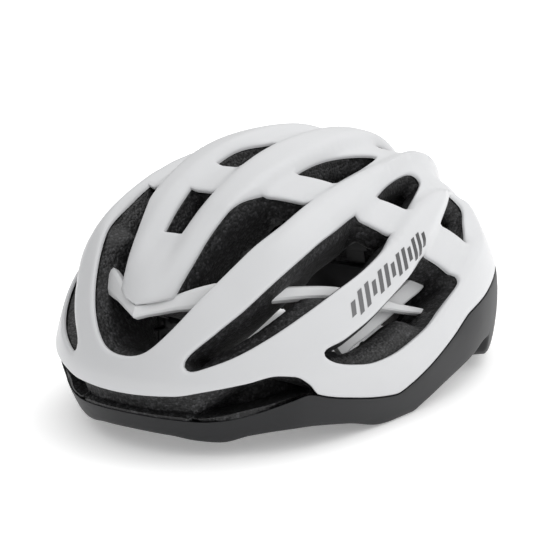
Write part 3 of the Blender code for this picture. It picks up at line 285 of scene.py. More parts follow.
def bare_radius(ab):
    """Distance from the hub to the dome, with the lower part tucked in towards the rim."""
    d = directions(ab)
    half = np.stack([HALF_WIDTH + WIDTH_GROWTH * d[:, 1], HALF_LENGTH + LENGTH_GROWTH * d[:, 1],
                     CROWN_HEIGHT + HEIGHT_GROWTH * d[:, 1]], 1)
    radius = superellipsoid(d, half, DOME_POWER)
    height = radius * d[:, 2]
    front, back = [most * np.clip((under - height) / under, 0, 2) ** TUCK_POWER
                   for most, under in (TUCK_FRONT, TUCK_BACK)]
    rearward = smoothstep((azimuth(ab) - 100) / 30)
    return radius * (1 - front * (1 - rearward) - back * rearward)


def cavity_radius(ab):
    return superellipsoid(directions(ab), np.array(CAVITY_HALF), CAVITY_POWER)


def dome(ab, lift):
    return to_world(directions(ab) * (bare_radius(ab) + lift)[:, None])


def cavity(ab, lift):
    return to_world(directions(ab) * (cavity_radius(ab) + lift)[:, None])


def distance_to(ab, route, closed=False):
    """Distance on the map from each point to a polyline."""
    a = np.asarray(route, float)
    b = np.roll(a, -1, 0) if closed else a[1:]
    a = a if closed else a[:-1]
    best = np.full(len(ab), 1e9)
    for p, q in zip(a, b):
        w, v = ab - p, q - p
        along = np.clip((w @ v) / (v @ v), 0, 1)
        best = np.minimum(best, (w[:, 0] - along * v[0]) ** 2 + (w[:, 1] - along * v[1]) ** 2)
    return np.sqrt(best)


def inside(ab, loop):
    hit = np.zeros(len(ab), bool)
    for (x1, y1), (x2, y2) in zip(loop, np.roll(loop, -1, 0)):
        crosses = (y1 > ab[:, 1]) != (y2 > ab[:, 1])
        if crosses.any():
            left = ab[:, 0] < (x2 - x1) * (ab[:, 1] - y1) / (y2 - y1) + x1
            hit ^= crosses & left
    return hit


def spline(points, count):
    """Points evenly spread along a smooth open curve through the given ones."""
    p = np.asarray(points, float)
    p = np.vstack([2 * p[0] - p[1], p, 2 * p[-1] - p[-2]])
    dense = []
    for i in range(1, len(p) - 2):
        t = np.linspace(0, 1, 24, endpoint=False)[:, None]
        dense.append(0.5 * (2 * p[i] + (p[i + 1] - p[i - 1]) * t
                            + (2 * p[i - 1] - 5 * p[i] + 4 * p[i + 1] - p[i + 2]) * t**2
                            + (3 * p[i] - p[i - 1] - 3 * p[i + 1] + p[i + 2]) * t**3))
    dense = np.vstack(dense + [p[-2:-1]])
    gone = np.concatenate([[0], np.cumsum(np.linalg.norm(np.diff(dense, axis=0), axis=1))])
    at = np.linspace(0, gone[-1], count)
    return np.stack([np.interp(at, gone, dense[:, k]) for k in range(p.shape[1])], 1)


def outline(points, step=FINE_STEP):
    """A closed outline through the points, smooth everywhere but at the marked corners."""
    corners = [i for i, p in enumerate(points) if len(p) > 2]
    p = pairs(points)
    if not corners:
        around = spline(np.vstack([p[-2:], p, p[:2]]), 24 * (len(p) + 3) + 1)[48:-24]
        gone = np.concatenate([[0], np.cumsum(np.linalg.norm(np.diff(around, axis=0), axis=1))])
        at = np.linspace(0, gone[-1], max(8, round(gone[-1] / step)), endpoint=False)
        return np.stack([np.interp(at, gone, around[:, k]) for k in (0, 1)], 1)
    out = []
    for i, first in enumerate(corners):
        span = (corners[(i + 1) % len(corners)] - first) % len(p) or len(p)
        run = p[[(first + k) % len(p) for k in range(span + 1)]]
        length = np.linalg.norm(np.diff(run, axis=0), axis=1).sum()
        out.append(spline(run, max(2, round(length / step) + 1))[:-1])
    return np.vstack(out)


def mirrored(half):
    """A closed list of points from the half with a >= 0, whose ends lie on the centre plane."""
    return half + [(-p[0],) + tuple(p[1:]) for p in reversed(half[1:-1])]


def flipped(points):
    return [(-p[0],) + tuple(p[1:]) for p in points]


def vent_loops():
    loops = [outline(mirrored(half)) for half in (FRONT_VENT_HALF, CENTRE_HOLE_HALF, CENTRE_VENT_HALF,
                                                  REAR_VENT_HALF)]
    for points in SIDE_VENTS.values():
        loops += [outline(points), outline(flipped(points))]
    return [loop if signed_area(loop) > 0 else loop[::-1] for loop in loops]


def signed_area(loop):
    nxt = np.roll(loop, -1, 0)
    return 0.5 * (loop[:, 0] * nxt[:, 1] - nxt[:, 0] * loop[:, 1]).sum()


def outward(loop):
    """Outward normals of an anticlockwise loop, lengthened at corners so that the edges stay parallel."""
    def turned(v):
        v = v / np.linalg.norm(v, axis=1, keepdims=True)
        return np.stack([v[:, 1], -v[:, 0]], 1)

    before, after = turned(loop - np.roll(loop, 1, 0)), turned(np.roll(loop, -1, 0) - loop)
    middle = before + after
    middle /= np.linalg.norm(middle, axis=1, keepdims=True)
    return middle / np.maximum((middle * after).sum(1, keepdims=True), 0.62)


def room_inside(loop, limit):
    """How far each point of a loop can move inwards before it meets the rest of the loop."""
    inward = -outward(loop)
    room = np.zeros(len(loop))
    open_still = np.ones(len(loop), bool)
    for reach in np.arange(0.1, limit + 0.05, 0.1):
        away = distance_to(loop + inward * reach, loop, closed=True)
        open_still &= away > 0.93 * reach
        room[open_still] = reach
    return room


def nearest(ab, loops):
    away = np.full(len(ab), 1e9)
    for loop in loops:
        near = (abs(ab - loop.mean(0)) < abs(loop - loop.mean(0)).max(0) + 8).all(1)
        away[near] = np.minimum(away[near], distance_to(ab[near], loop, closed=True))
    return away


def nose_droop(side):
    """How far the front end of the centre rib curves down towards its edges and its tip."""
    a, b = side[:, 0], side[:, 1]
    within_nose = smoothstep((NOSE_SIDE - a) / 1.5) * smoothstep((b - NOSE_FRONT) / 2)
    sides = NOSE_DROOP * np.clip((NOSE_START - b) / 21.5, 0, 1.1) * (a / NOSE_HALF) ** 2
    return within_nose * (sides + NOSE_TIP * np.clip((NOSE_TIP_START - b) / 9, 0, 1))


def rib_lift(ab):
    """Height of the outer surface over the bare dome: ribs stand up between the sunken lanes."""
    side = np.stack([abs(ab[:, 0]), ab[:, 1]], 1)
    sink = np.zeros(len(ab))
    for route, floor, reach, depth in LANES:
        away = distance_to(side, spline(route, 40))
        ends = (side[:, 1] - route[0][1]) / LANE_FADE, (route[-1][1] - side[:, 1]) / LANE_FADE
        depth = depth * smoothstep(ends[0]) * smoothstep(ends[1])
        sink = np.maximum(sink, depth * smoothstep((reach - away) / (reach - floor)))
    rise = np.zeros(len(ab))
    for route, reach in CRESTS:
        line = spline(route, 240)
        apart = np.hypot(side[:, :1] - line[:, 0], side[:, 1:] - line[:, 1])
        rise = np.maximum(rise, line[apart.argmin(1), 2] * smoothstep(1 - apart.min(1) / reach))
    return RIB_RISE - sink + rise - nose_droop(side)


def rolled(away, drop, width):
    """How far a round edge falls at a distance from its end."""
    return drop * (1 - np.sqrt(1 - np.clip(1 - away / width, 0, 1) ** 2))


# ---------------------------------------------------------------- edges round the helmet

def azimuth_stations(step=1.0, fine=0.5):
    half = [*np.arange(0, 30, step), *np.arange(30, 42, fine), *np.arange(42, 106, step),
            *np.arange(106, 132, fine), *np.arange(132, 180, step)]
    half = np.array(half)
    return np.concatenate([-half[:0:-1], half, [180]])


def heading(turn):
    """Unit vectors on the map at azimuths from the front."""
    return np.stack([np.sin(np.radians(turn)), -np.cos(np.radians(turn))], -1)


def ring_of(angle_at, turn):
    """A closed loop round the crown at the angle that each azimuth has."""
    return angle_at(abs(turn))[:, None] * heading(turn)


def white_edge(turn):
    return ease(turn, WHITE_EDGE)


def graphite_edge(turn):
    return np.where(turn < SLOT_END, ease(turn, SLOT_FOOT), white_edge(turn) + SEAM_ANGLE)


def rim_angle(turn, rise=0.0):
    """Angle from the crown at which the dome is at the rim's height, plus a rise."""
    height = ease(turn, RIM_HEIGHT) + rise
    angle = np.full(len(turn), 86.0)
    for _ in range(12):
        ab = angle[:, None] * heading(turn)
        angle = np.degrees(np.arccos(np.clip(height / (bare_radius(ab) + RIB_RISE), -1, 1)))
    return angle


# ---------------------------------------------------------------- meshes

def mesh_object(name, points, faces, look, body, node=None, sharp=40):
    """A closed piece from points and faces, turned to face outwards, that rides on a body."""
    points = np.asarray(points, float)
    faces = [tuple(int(i) for i in f) for f in faces]
    volume = 0.0
    for face in faces:
        for j in range(1, len(face) - 1):
            volume += np.dot(points[face[0]], np.cross(points[face[j]], points[face[j + 1]]))
    if volume < 0:
        faces = [tuple(reversed(face)) for face in faces]
    mesh = bpy.data.meshes.new(name)
    mesh.from_pydata([tuple(p) for p in points], [], faces)
    mesh.validate()
    made = bpy.data.objects.new(name, mesh)
    bpy.context.scene.collection.objects.link(made)
    mesh.materials.append(look)
    mesh.shade_smooth()
    mesh.set_sharp_from_angle(angle=math.radians(sharp))
    if body:
        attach(made, body)
    if node:
        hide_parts(*([node] if isinstance(node, str) else node))
    return made


def triangulate(rim, holes, lines, step, extra=None):
    """Points and triangles that fill the rim, leave the holes open and follow the lines, on an even grid."""
    loops = [rim] + holes + lines
    reach = abs(rim).max() + step
    grid = []
    for k, b in enumerate(np.arange(-reach, reach, step * 0.866)):
        columns = np.arange(0.25 * step if k % 2 else 0.75 * step, reach, step)
        grid += [(a, b) for a in columns] + [(-a, b) for a in columns]
    grid = np.array(grid)
    if extra is not None:
        away = np.full(len(grid), 1e9)
        for p in extra:
            away = np.minimum(away, np.hypot(*(grid - p).T))
        grid = np.vstack([grid[away > 0.6 * step], extra])
    keep = inside(grid, rim)
    for hole in holes:
        keep &= ~inside(grid, hole)
    keep &= nearest(grid, holes + lines) > 0.42 * step
    keep &= distance_to(grid, rim, closed=True) > 0.42 * step
    points, edges = [], []
    for loop in loops:
        first = len(points)
        points += [tuple(p) for p in loop]
        edges += [(first + i, first + (i + 1) % len(loop)) for i in range(len(loop))]
    points += [tuple(p) for p in grid[keep]]
    found = delaunay_2d_cdt([Vector(p) for p in points], edges, [], 0, 1e-6)
    ab = np.array([tuple(p) for p in found[0]])
    triangles = np.array([tuple(f) for f in found[2]])
    middle = ab[triangles].mean(1)
    used = inside(middle, rim)
    for hole in holes:
        used &= ~inside(middle, hole)
    return ab, triangles[used]


def layered(name, triangles, layers, look, body, node=None, sharp=40):
    """A solid from one triangulation repeated on several layers, outermost first."""
    kept, index = np.unique(triangles, return_inverse=True)
    triangles = index.reshape(-1, 3)
    layers = [layer[kept] for layer in layers]
    n = len(kept)
    pairs_in = np.concatenate([triangles[:, [0, 1]], triangles[:, [1, 2]], triangles[:, [2, 0]]])
    codes = pairs_in[:, 0] * n + pairs_in[:, 1]
    lone = pairs_in[~np.isin(codes, pairs_in[:, 1] * n + pairs_in[:, 0])]
    on_edge = np.unique(lone)
    place = np.full(n, -1)
    place[on_edge] = np.arange(len(on_edge))
    points = [layers[0], layers[-1]] + [layer[on_edge] for layer in layers[1:-1]]

    def at(i, k):
        if k == 0:
            return i
        if k == len(layers) - 1:
            return n + i
        return 2 * n + (k - 1) * len(on_edge) + place[i]

    walls = [(at(j, k), at(i, k), at(i, k + 1), at(j, k + 1))
             for i, j in lone for k in range(len(layers) - 1)]
    faces = [tuple(t) for t in triangles] + [tuple(n + t[::-1]) for t in triangles] + walls
    return mesh_object(name, np.vstack(points), faces, look, body, node, sharp)


# ---------------------------------------------------------------- materials

def node_tree(name):
    made = bpy.data.materials.new(name)
    made.use_nodes = True
    tree = made.node_tree
    return made, tree, tree.nodes["Principled BSDF"]


def add(tree, kind, **values):
    """A node whose inputs are linked to the given sockets or set to the given values."""
    node = tree.nodes.new(kind)
    for key, value in values.items():
        name = key.replace("_", " ")
        if name not in node.inputs:
            setattr(node, key, value)
        elif isinstance(value, bpy.types.NodeSocket):
            tree.links.new(value, node.inputs[name])
        else:
            node.inputs[name].default_value = value
    return node


def finish_shader(tree, shader, **values):
    for key, value in values.items():
        name = key.replace("_", " ")
        if isinstance(value, bpy.types.NodeSocket):
            tree.links.new(value, shader.inputs[name])
        else:
            shader.inputs[name].default_value = value


def coordinates(tree, scale=1.0):
    """Object coordinates, in metres, times a scale."""
    where = add(tree, "ShaderNodeTexCoord")
    grow = add(tree, "ShaderNodeVectorMath", operation="SCALE", Scale=scale)
    tree.links.new(where.outputs["Object"], grow.inputs[0])
    return grow.outputs[0]


def noise(tree, scale, detail, roughness=0.5):
    return add(tree, "ShaderNodeTexNoise", Vector=coordinates(tree, scale), Scale=1.0, Detail=detail,
               Roughness=roughness).outputs["Fac"]


def ramp(tree, source, stops):
    node = add(tree, "ShaderNodeValToRGB", Fac=source)
    while len(node.color_ramp.elements) < len(stops):
        node.color_ramp.elements.new(0.5)
    for element, (place, colour) in zip(node.color_ramp.elements, stops):
        element.position = place
        element.color = (*colour, 1) if isinstance(colour, tuple) else (colour, colour, colour, 1)
    return node.outputs["Color"]


def brighter(colour, times):
    return tuple(min(1.0, times * c) for c in colour)


def bump(tree, shader, height, strength, distance, before=None):
    node = add(tree, "ShaderNodeBump", Height=height, Strength=strength, Distance=distance)
    if before:
        tree.links.new(before, node.inputs["Normal"])
    tree.links.new(node.outputs["Normal"], shader.inputs["Normal"])
    return node.outputs["Normal"]


def moulded_plastic(name, colour, roughness, spread=0.06, coat=0.0, grain=2600, depth=0.00002, strength=0.25,
                    tone=0.05, shine=0.5):
    """Moulded plastic: faint flow marks in colour and gloss, and a fine surface grain."""
    made, tree, shader = node_tree(name)
    flow = noise(tree, 38.0, 4.0)
    gloss = add(tree, "ShaderNodeMapRange", Value=flow, To_Min=roughness - spread, To_Max=roughness + spread)
    bump(tree, shader, noise(tree, grain, 2.0), strength, depth)
    stops = [(0.3, brighter(colour, 1 - tone)), (0.7, brighter(colour, 1 + tone))]
    finish_shader(tree, shader, Base_Color=ramp(tree, flow, stops), Roughness=gloss.outputs["Result"],
                  Specular_IOR_Level=shine, Coat_Weight=coat, Coat_Roughness=0.12)
    return made


def bead_foam(name, colour):
    """Expanded bead foam: beads pressed together, some of them lighter, with dark joints between them."""
    made, tree, shader = node_tree(name)
    where = coordinates(tree, 720.0)
    beads = add(tree, "ShaderNodeTexVoronoi", Vector=where, feature="F1", Scale=1.0)
    joints = add(tree, "ShaderNodeTexVoronoi", feature="DISTANCE_TO_EDGE", Scale=1.0, Vector=where)
    each = add(tree, "ShaderNodeSeparateColor", Color=beads.outputs["Color"])
    shade = add(tree, "ShaderNodeMix", data_type="RGBA", blend_type="MULTIPLY")
    shade.inputs[0].default_value = 1.0
    tree.links.new(ramp(tree, joints.outputs["Distance"], [(0.0, 0.25), (0.14, 1.0)]), shade.inputs[6])
    stops = [(0.0, colour), (0.55, brighter(colour, 2.2)), (1.0, brighter(colour, 9.0))]
    tree.links.new(ramp(tree, each.outputs[0], stops), shade.inputs[7])
    first = bump(tree, shader, beads.outputs["Distance"], 0.6, -0.0007)
    bump(tree, shader, noise(tree, 1300.0, 3.0, 0.7), 0.3, 0.0003, first)
    finish_shader(tree, shader, Base_Color=shade.outputs[2], Roughness=0.55, Specular_IOR_Level=0.45)
    return made


def printed_film(name, front, rear, reach):
    """Ink film whose tone runs from grey at the front to near black at the rear."""
    made, tree, shader = node_tree(name)
    where = add(tree, "ShaderNodeTexCoord")
    parts = add(tree, "ShaderNodeSeparateXYZ", Vector=where.outputs["Object"])
    along = add(tree, "ShaderNodeMapRange", Value=parts.outputs["Y"], From_Min=reach[0], From_Max=reach[1])
    bump(tree, shader, noise(tree, 900.0, 2.0), 0.15, 0.00002)
    finish_shader(tree, shader, Base_Color=ramp(tree, along.outputs["Result"], [(0, front), (1, rear)]),
                  Roughness=0.38)
    return made


def knit(name, colour):
    """Brushed knit: rows of loops with a soft nap and lighter fibre ends."""
    made, tree, shader = node_tree(name)
    loops = add(tree, "ShaderNodeTexVoronoi", feature="SMOOTH_F1", Scale=1.0, Smoothness=0.6,
                Vector=coordinates(tree, 1150.0))
    nap = noise(tree, 420.0, 4.0, 0.65)
    first = bump(tree, shader, loops.outputs["Distance"], 0.5, -0.0004)
    bump(tree, shader, nap, 0.3, 0.0005, first)
    finish_shader(tree, shader, Base_Color=ramp(tree, nap, [(0.36, colour), (0.68, brighter(colour, 2.1))]),
                  Roughness=0.95, Sheen_Weight=0.25, Sheen_Roughness=0.5)
    return made


def woven_tape(name, colour):
    """Polyester tape: a diagonal weave of fine yarns with a slight sheen."""
    made, tree, shader = node_tree(name)
    both = add(tree, "ShaderNodeMath", operation="MAXIMUM")
    for k, angle in enumerate((38, -38)):
        turned = add(tree, "ShaderNodeMapping", Vector=coordinates(tree),
                     Rotation=(math.radians(angle), math.radians(angle), 0))
        yarn = add(tree, "ShaderNodeTexWave", wave_type="BANDS", bands_direction="Y", Scale=330.0,
                   Distortion=0.4, Vector=turned.outputs[0])
        tree.links.new(yarn.outputs["Fac"], both.inputs[k])
    weave = both.outputs[0]
    bump(tree, shader, weave, 0.45, 0.0003)
    finish_shader(tree, shader, Base_Color=ramp(tree, weave, [(0.3, colour), (0.95, brighter(colour, 2.4))]),
                  Roughness=0.72, Sheen_Weight=0.15)
    return made


# ---------------------------------------------------------------- shells and liner

def edge_rings(loops, width, shares, side=1):
    """Copies of the loops at shares of a width away from them."""
    return [loop + side * outward(loop) * width * share for loop in loops for share in shares]


def white_lift(ab, vents, rim):
    """Outer surface of the white shell over the bare dome, and how far into an edge's roll each point is."""
    vent_away, rim_away = nearest(ab, vents), distance_to(ab, rim, closed=True)
    lift = rib_lift(ab) - rolled(vent_away, ROLL_DROP, ROLL_WIDTH) - rolled(rim_away, RIM_DROP, RIM_WIDTH)
    turned_in = np.maximum(np.clip(1 - vent_away / ROLL_WIDTH, 0, 1), np.clip(1 - rim_away / RIM_WIDTH, 0, 1))
    return lift, turned_in


def crest_grid():
    """Extra points in rows along the raised crests, so that they rise evenly."""
    rows = []
    for route, reach in CRESTS:
        line = spline(route, 75)[:, :2]
        along = np.gradient(line, axis=0)
        across = unit(np.stack([-along[:, 1], along[:, 0]], 1))
        for share in np.linspace(-0.66, 0.66, 11):
            row = line + across * reach * share
            rows += [row, row * (-1, 1)]
    return np.vstack(rows)


def white_shell(vents, look):
    rim = ring_of(white_edge, azimuth_stations())
    lines = edge_rings(vents, ROLL_WIDTH, (0.06, 0.2, 0.45, 1.0))
    lines += edge_rings([rim], RIM_WIDTH, (0.08, 0.35, 1.0), -1)
    ab, triangles = triangulate(rim, vents, lines, SHELL_GRID, crest_grid())
    lift, turned_in = white_lift(ab, vents, rim)
    thickness = SHELL_THICKNESS + (EDGE_THICKNESS - SHELL_THICKNESS) * turned_in
    return layered("white_shell", triangles, [dome(ab, lift), dome(ab, lift - thickness)], look, "shell",
                   "upper_shell", 50)


def slot_point(turn, share, side=1):
    """Map point in the brow slot at an azimuth and a share of the way from the white edge to the foot."""
    turn, share = np.asarray(turn, float), np.asarray(share, float)
    angle = white_edge(turn) * (1 - share) + graphite_edge(turn) * share
    return np.stack([side * angle * np.sin(np.radians(turn)), -angle * np.cos(np.radians(turn))], -1)


def slot_grid():
    """Extra points over the brow slot, where the foam's surface bends most."""
    turn = np.concatenate([np.arange(0.6, 17, 1.2), np.arange(17, 28, 0.55), np.arange(28, 42, 1.0)])
    shares = [-0.1, 0.06, 0.22, 0.38, 0.52, 0.62, 0.72, 0.80, 0.86, 0.91, 0.96, 1.0, 1.03, 1.07, 1.15]
    rows = [slot_point(turn, np.full(len(turn), share), side) for share in shares for side in (1, -1)]
    return np.vstack(rows)


def duct_mouths():
    """The mouths of the two ducts as loops on the map."""
    loops = []
    for side in (1, -1):
        corners = [tuple(slot_point(p[0], p[1], side)) + tuple(p[2:]) for p in DUCT_MOUTH]
        loop = outline(corners, 0.6)
        loops.append(loop if signed_area(loop) > 0 else loop[::-1])
    return loops


def slot_sink(ab, mouths):
    """How deep the foam lies under the dome in the brow slot: shallow in front, with a duct at each end."""
    turn, angle = azimuth(ab), np.hypot(ab[:, 0], ab[:, 1])
    top, foot = white_edge(turn), graphite_edge(turn)
    share = (angle - top) / np.maximum(foot - top, 0.3)
    open_here = smoothstep((SLOT_END + 1.5 - turn) / 5)
    above_foot = smoothstep((1.07 - share) / 0.05)
    lip = smoothstep((share - 0.70) / 0.16) * above_foot
    facet = FACET_DEPTH * np.clip((turn - FACET_START) / FACET_REACH, 0, 1) * above_foot
    sink = open_here * (SLOT_DEPTH + facet) * smoothstep(share * 4 + 0.6) * (1 - 0.96 * lip)
    for mouth in mouths:
        deep = inside(ab, mouth) * np.clip(distance_to(ab, mouth, closed=True) / DUCT_WALL, 0, 1)
        sink = np.maximum(sink, sink * (1 - deep) + (DUCT_DEPTH + SLOT_DEPTH) * deep)
    return sink


def vent_taper(loop):
    """How far each point of a vent's wall leans inwards: more along the lower sides of the front vents."""
    room = room_inside(loop, LOW_WALL + 1.5)
    plain = np.minimum(0.55 * room, WALL_LEAN)
    a, b = abs(loop[:, 0]), loop[:, 1]
    downward = outward(loop)[:, 0] * np.sign(loop[:, 0])
    second, third = [smoothstep((rear - b) / fade) for rear, fade in zip(LOW_WALL_REAR, (7, 9))]
    front = np.where(a > THIRD_VENT_SIDE, third, second)
    lower = smoothstep(downward / 0.5) * smoothstep((a - 17) / 4) * front
    return np.maximum(plain, np.minimum(0.92 * room, LOW_WALL) * lower)


def foam_liner(vents, look):
    holes = [loop + outward(loop) * VENT_GAP for loop in vents]
    turn = azimuth_stations()
    rim = ring_of(lambda t: rim_angle(t, RIM_RISE), turn)
    edge = ring_of(white_edge, turn)
    mouths = duct_mouths()
    lines = [edge] + mouths + [mouth - outward(mouth) * DUCT_WALL for mouth in mouths]
    ab, triangles = triangulate(rim, holes, lines, FOAM_GRID, slot_grid())
    vent_away = nearest(ab, holes)
    below = np.hypot(ab[:, 0], ab[:, 1]) - white_edge(azimuth(ab))
    top = rib_lift(ab) - SHELL_THICKNESS - FOAM_GAP - ROLL_DROP * np.clip(1 - vent_away / ROLL_WIDTH, 0, 1)
    top -= FOAM_STEP * smoothstep(below / 2) + slot_sink(ab, mouths)
    depth = bare_radius(ab) + top - cavity_radius(ab)
    side = np.stack([abs(ab[:, 0]), ab[:, 1]], 1)
    near = np.full(len(ab), 1e9)
    for route, *_ in LANES:
        near = np.minimum(near, distance_to(side, spline(route, 40)))
    under = smoothstep((CHANNEL_REACH - near) / (CHANNEL_REACH - CHANNEL_FLOOR))
    depth -= under * np.clip(depth - BRIDGE_FOAM, 0, 1) * smoothstep((HOLLOW_END - side[:, 0]) / 3)
    shift, flare = np.zeros_like(ab), np.zeros_like(ab)
    for loop in holes:
        for p, n, r in zip(loop, outward(loop), vent_taper(loop)):
            hit = np.hypot(*(ab - p).T) < 1e-4
            shift[hit] = -n * r
            flare[hit] = n * MOUTH_FLARE
    layers = []
    for share in FOAM_LAYERS:
        sunk = share * depth
        inset = smoothstep(sunk / LEAN_DEPTH)[:, None]
        round_off = np.clip((share - 0.8) / 0.2, 0, 1) ** 2
        moved = ab + shift * inset + flare * round_off
        radius = bare_radius(ab) + top - sunk
        layers.append(to_world(directions(moved) * radius[:, None]))
    return layered("bead_foam_liner", triangles, layers, look, "shell", "foam_liner", 55)


def graphite_shell(look):
    """Rim band: outer skin with a rolled top edge, a rounded lower lip and a flange under the foam."""
    turn = azimuth_stations()
    top, foot = graphite_edge(abs(turn)), rim_angle(abs(turn))
    way = heading(turn)
    inset = BROW_INSET * smoothstep((SLOT_END - 3 - abs(turn)) / 10)

    def skin(share, lift):
        ab = way * (top + (foot - top) * share)[:, None]
        return dome(ab, rib_lift(ab) + lift - inset)

    outer = [skin(share, lift) for share, lift in BAND_TOP_ROLL]
    outer += [skin(share, 0.0) for share in (0.12, 0.25, 0.4, 0.55, 0.7, 0.82)]
    ground = skin(1.0, -0.0012)
    ground[:, 2] = np.maximum(ground[:, 2], 0)
    low = skin(0.92, -0.0001)
    low[:, 2] = np.maximum(low[:, 2], ground[:, 2] + 0.0012)
    inward = np.array([0, HUB_Y, HUB_Z]) - ground
    inward /= np.linalg.norm(inward, axis=1, keepdims=True)
    low_in = ground + inward * FLANGE_WIDTH
    low_in[:, 2] = np.where(ground[:, 2] > 0, low_in[:, 2], 0)
    up = np.array([0, 0, RIM_WALL])
    corner = ground * 0.5 + low * 0.5 - inward * 0.0003
    lip = ground + inward * 0.0009
    lip[:, 2] = np.where(ground[:, 2] > 0, lip[:, 2], 0)
    rows = outer + [low, corner, ground + up * 0.12, lip]
    rows += [low_in, low_in + up, ground + up + inward * RIM_WALL]
    rows += [skin(share, -RIM_WALL) for share in (0.75, 0.5, 0.25, 0.02)]
    points = np.stack(rows, 1).reshape(-1, 3)
    faces = loft_faces(len(turn), len(rows), True)
    return mesh_object("graphite_shell", points, faces, look, "shell", "lower_shell", 42)


# ---------------------------------------------------------------- cage

def unit(v):
    return v / np.linalg.norm(v, axis=-1, keepdims=True)


def loft_faces(stations, count, closed):
    """Faces between like sections of a closed outline, set one after another."""
    faces = []
    for i in range(stations if closed else stations - 1):
        k = (i + 1) % stations
        for j in range(count):
            q = (j + 1) % count
            faces.append((i * count + j, i * count + q, k * count + q, k * count + j))
    return faces


def sweep(name, route, wide, section, look, body, node, scale=None, sharp=40):
    """A closed section carried along a route; wide is the direction of the section's first coordinate."""
    route = np.asarray(route, float)
    section = np.asarray(section, float)
    n, m = len(route), len(section)
    wide = np.broadcast_to(np.asarray(wide, float), route.shape)
    along = np.gradient(route, axis=0)
    thick = unit(np.cross(along, wide))
    across = unit(np.cross(thick, along))
    scale = np.ones((n, 2)) if scale is None else np.asarray(scale, float)
    points = [route[i] + u * scale[i, 0] * across[i] + v * scale[i, 1] * thick[i] for i in range(n)
              for u, v in section]
    faces = loft_faces(n, m, False)
    faces += [tuple(range(m - 1, -1, -1)), tuple((n - 1) * m + j for j in range(m))]
    return mesh_object(name, points, faces, look, body, node, sharp)


def round_section(width, thickness, radius, steps=3):
    """Outline of a flat bar with round corners."""
    shape = []
    for quarter, (su, sv) in enumerate([(1, 1), (-1, 1), (-1, -1), (1, -1)]):
        for k in range(steps + 1):
            turn = math.radians(90 * quarter + 90 * k / steps)
            shape.append((su * (width / 2 - radius) + radius * math.cos(turn),
                          sv * (thickness / 2 - radius) + radius * math.sin(turn)))
    return shape


def bevelled_section(width, thickness, bevel, radius):
    """Bar with a flat top between two broad bevels, as the cage has."""
    w, t = width / 2, thickness / 2
    half = [(w - radius, -t), (w, -t + radius), (w, t - bevel - radius),
            (w - 0.3 * radius, t - bevel + 0.3 * radius), (w - bevel - 0.4 * radius, t - 0.25 * radius),
            (w - bevel - 1.6 * radius, t)]
    return half + [(-u, v) for u, v in reversed(half)]


def on_dome(points, count):
    """A smooth curve through map points that carry their height against the bare dome."""
    line = spline([(a, b, 1000 * lift) for a, b, lift in points], count)
    return dome(line[:, :2], line[:, 2] / 1000)


def hoop_route():
    """The cage's hoop: two straight arms that meet on the centre plane, and a smooth run along each side."""
    vertex, shoulder = on_dome(CAGE_ARM, 2)
    arm = vertex + (shoulder - vertex) * np.linspace(0, 1, 8, endpoint=False)[:, None]
    half = np.vstack([arm, on_dome(CAGE_SIDE, 72)])
    return np.vstack([half[:0:-1] * (-1, 1, 1), half])


def cage(look):
    route = hoop_route()
    middle = len(route) // 2
    share = abs(np.arange(len(route)) - middle) / middle
    taper = np.stack([ease(share, HOOP_WIDTHS), ease(share, HOOP_DEPTHS)], 1)
    taper[middle] *= VERTEX_MITRE
    section = bevelled_section(CAGE_WIDTH, CAGE_THICKNESS, CAGE_BEVEL, BAR_ROUND)
    outwards = unit(route - (0, HUB_Y, HUB_Z))
    wide = np.cross(outwards, np.gradient(route, axis=0))
    sweep("cage_hoop", route, wide, section, look, "shell", "roll_cage", scale=taper, sharp=24)
    section = bevelled_section(STRUT_WIDTH, STRUT_THICKNESS, STRUT_BEVEL, BAR_ROUND)
    for name, side in (("left", 1), ("right", -1)):
        route = on_dome(STRUT_ROUTE, 45) * (side, 1, 1)
        outwards = unit(route - (0, HUB_Y, HUB_Z))
        wide = np.cross(outwards, np.gradient(route, axis=0))
        narrow = ease(np.linspace(0, 1, len(route)), STRUT_WIDTHS)
        sweep(f"side_strut_{name}", route, wide, section, look, "shell", f"cage_strut_{name}",
              scale=np.stack([narrow, np.ones(len(route))], 1), sharp=24)


# ---------------------------------------------------------------- marks

def rib_marks(name, side, look):
    """Slanted bars of two lengths, printed as a thin film on the third rib."""
    line = spline(MARK_ROUTE, MARK_BARS * 2 + 1)
    pitch = np.linalg.norm(line[2] - line[0])
    points, faces = [], []
    for k in range(MARK_BARS):
        middle = line[2 * k + 1]
        along = unit(line[2 * k + 2] - line[2 * k])
        across = np.array([-along[1], along[0]])
        half = MARK_HALF * (1.0 if k % 3 else MARK_SHORT)
        steps, first = 9, len(points)
        wide = np.linspace(-0.5, 0.5, 3) * pitch * MARK_SHARE
        u, v = np.meshgrid(wide, np.linspace(-1, 1, steps), indexing="ij")
        leant = u + v * MARK_LEAN * half / MARK_HALF
        ab = middle + leant[..., None] * along + (v * half)[..., None] * across
        ab = ab.reshape(-1, 2) * (side, 1)
        lift = rib_lift(ab)
        points += list(dome(ab, lift + MARK_PROUD)) + list(dome(ab, lift - MARK_PROUD * 2))
        n = 3 * steps
        faces += grid_faces(3, steps, first) + [f[::-1] for f in grid_faces(3, steps, first + n)]
        rim = [*range(steps), *range(2 * steps - 1, n, steps), *range(n - 2, 2 * steps - 1, -1), steps]
        faces += [(first + rim[(i + 1) % len(rim)], first + rim[i], first + n + rim[i],
                   first + n + rim[(i + 1) % len(rim)]) for i in range(len(rim))]
    mesh_object(name, points, faces, look, "shell")


def grid_faces(rows, columns, first):
    return [(first + i * columns + j, first + (i + 1) * columns + j, first + (i + 1) * columns + j + 1,
             first + i * columns + j + 1) for i in range(rows - 1) for j in range(columns - 1)]


# ---------------------------------------------------------------- pads

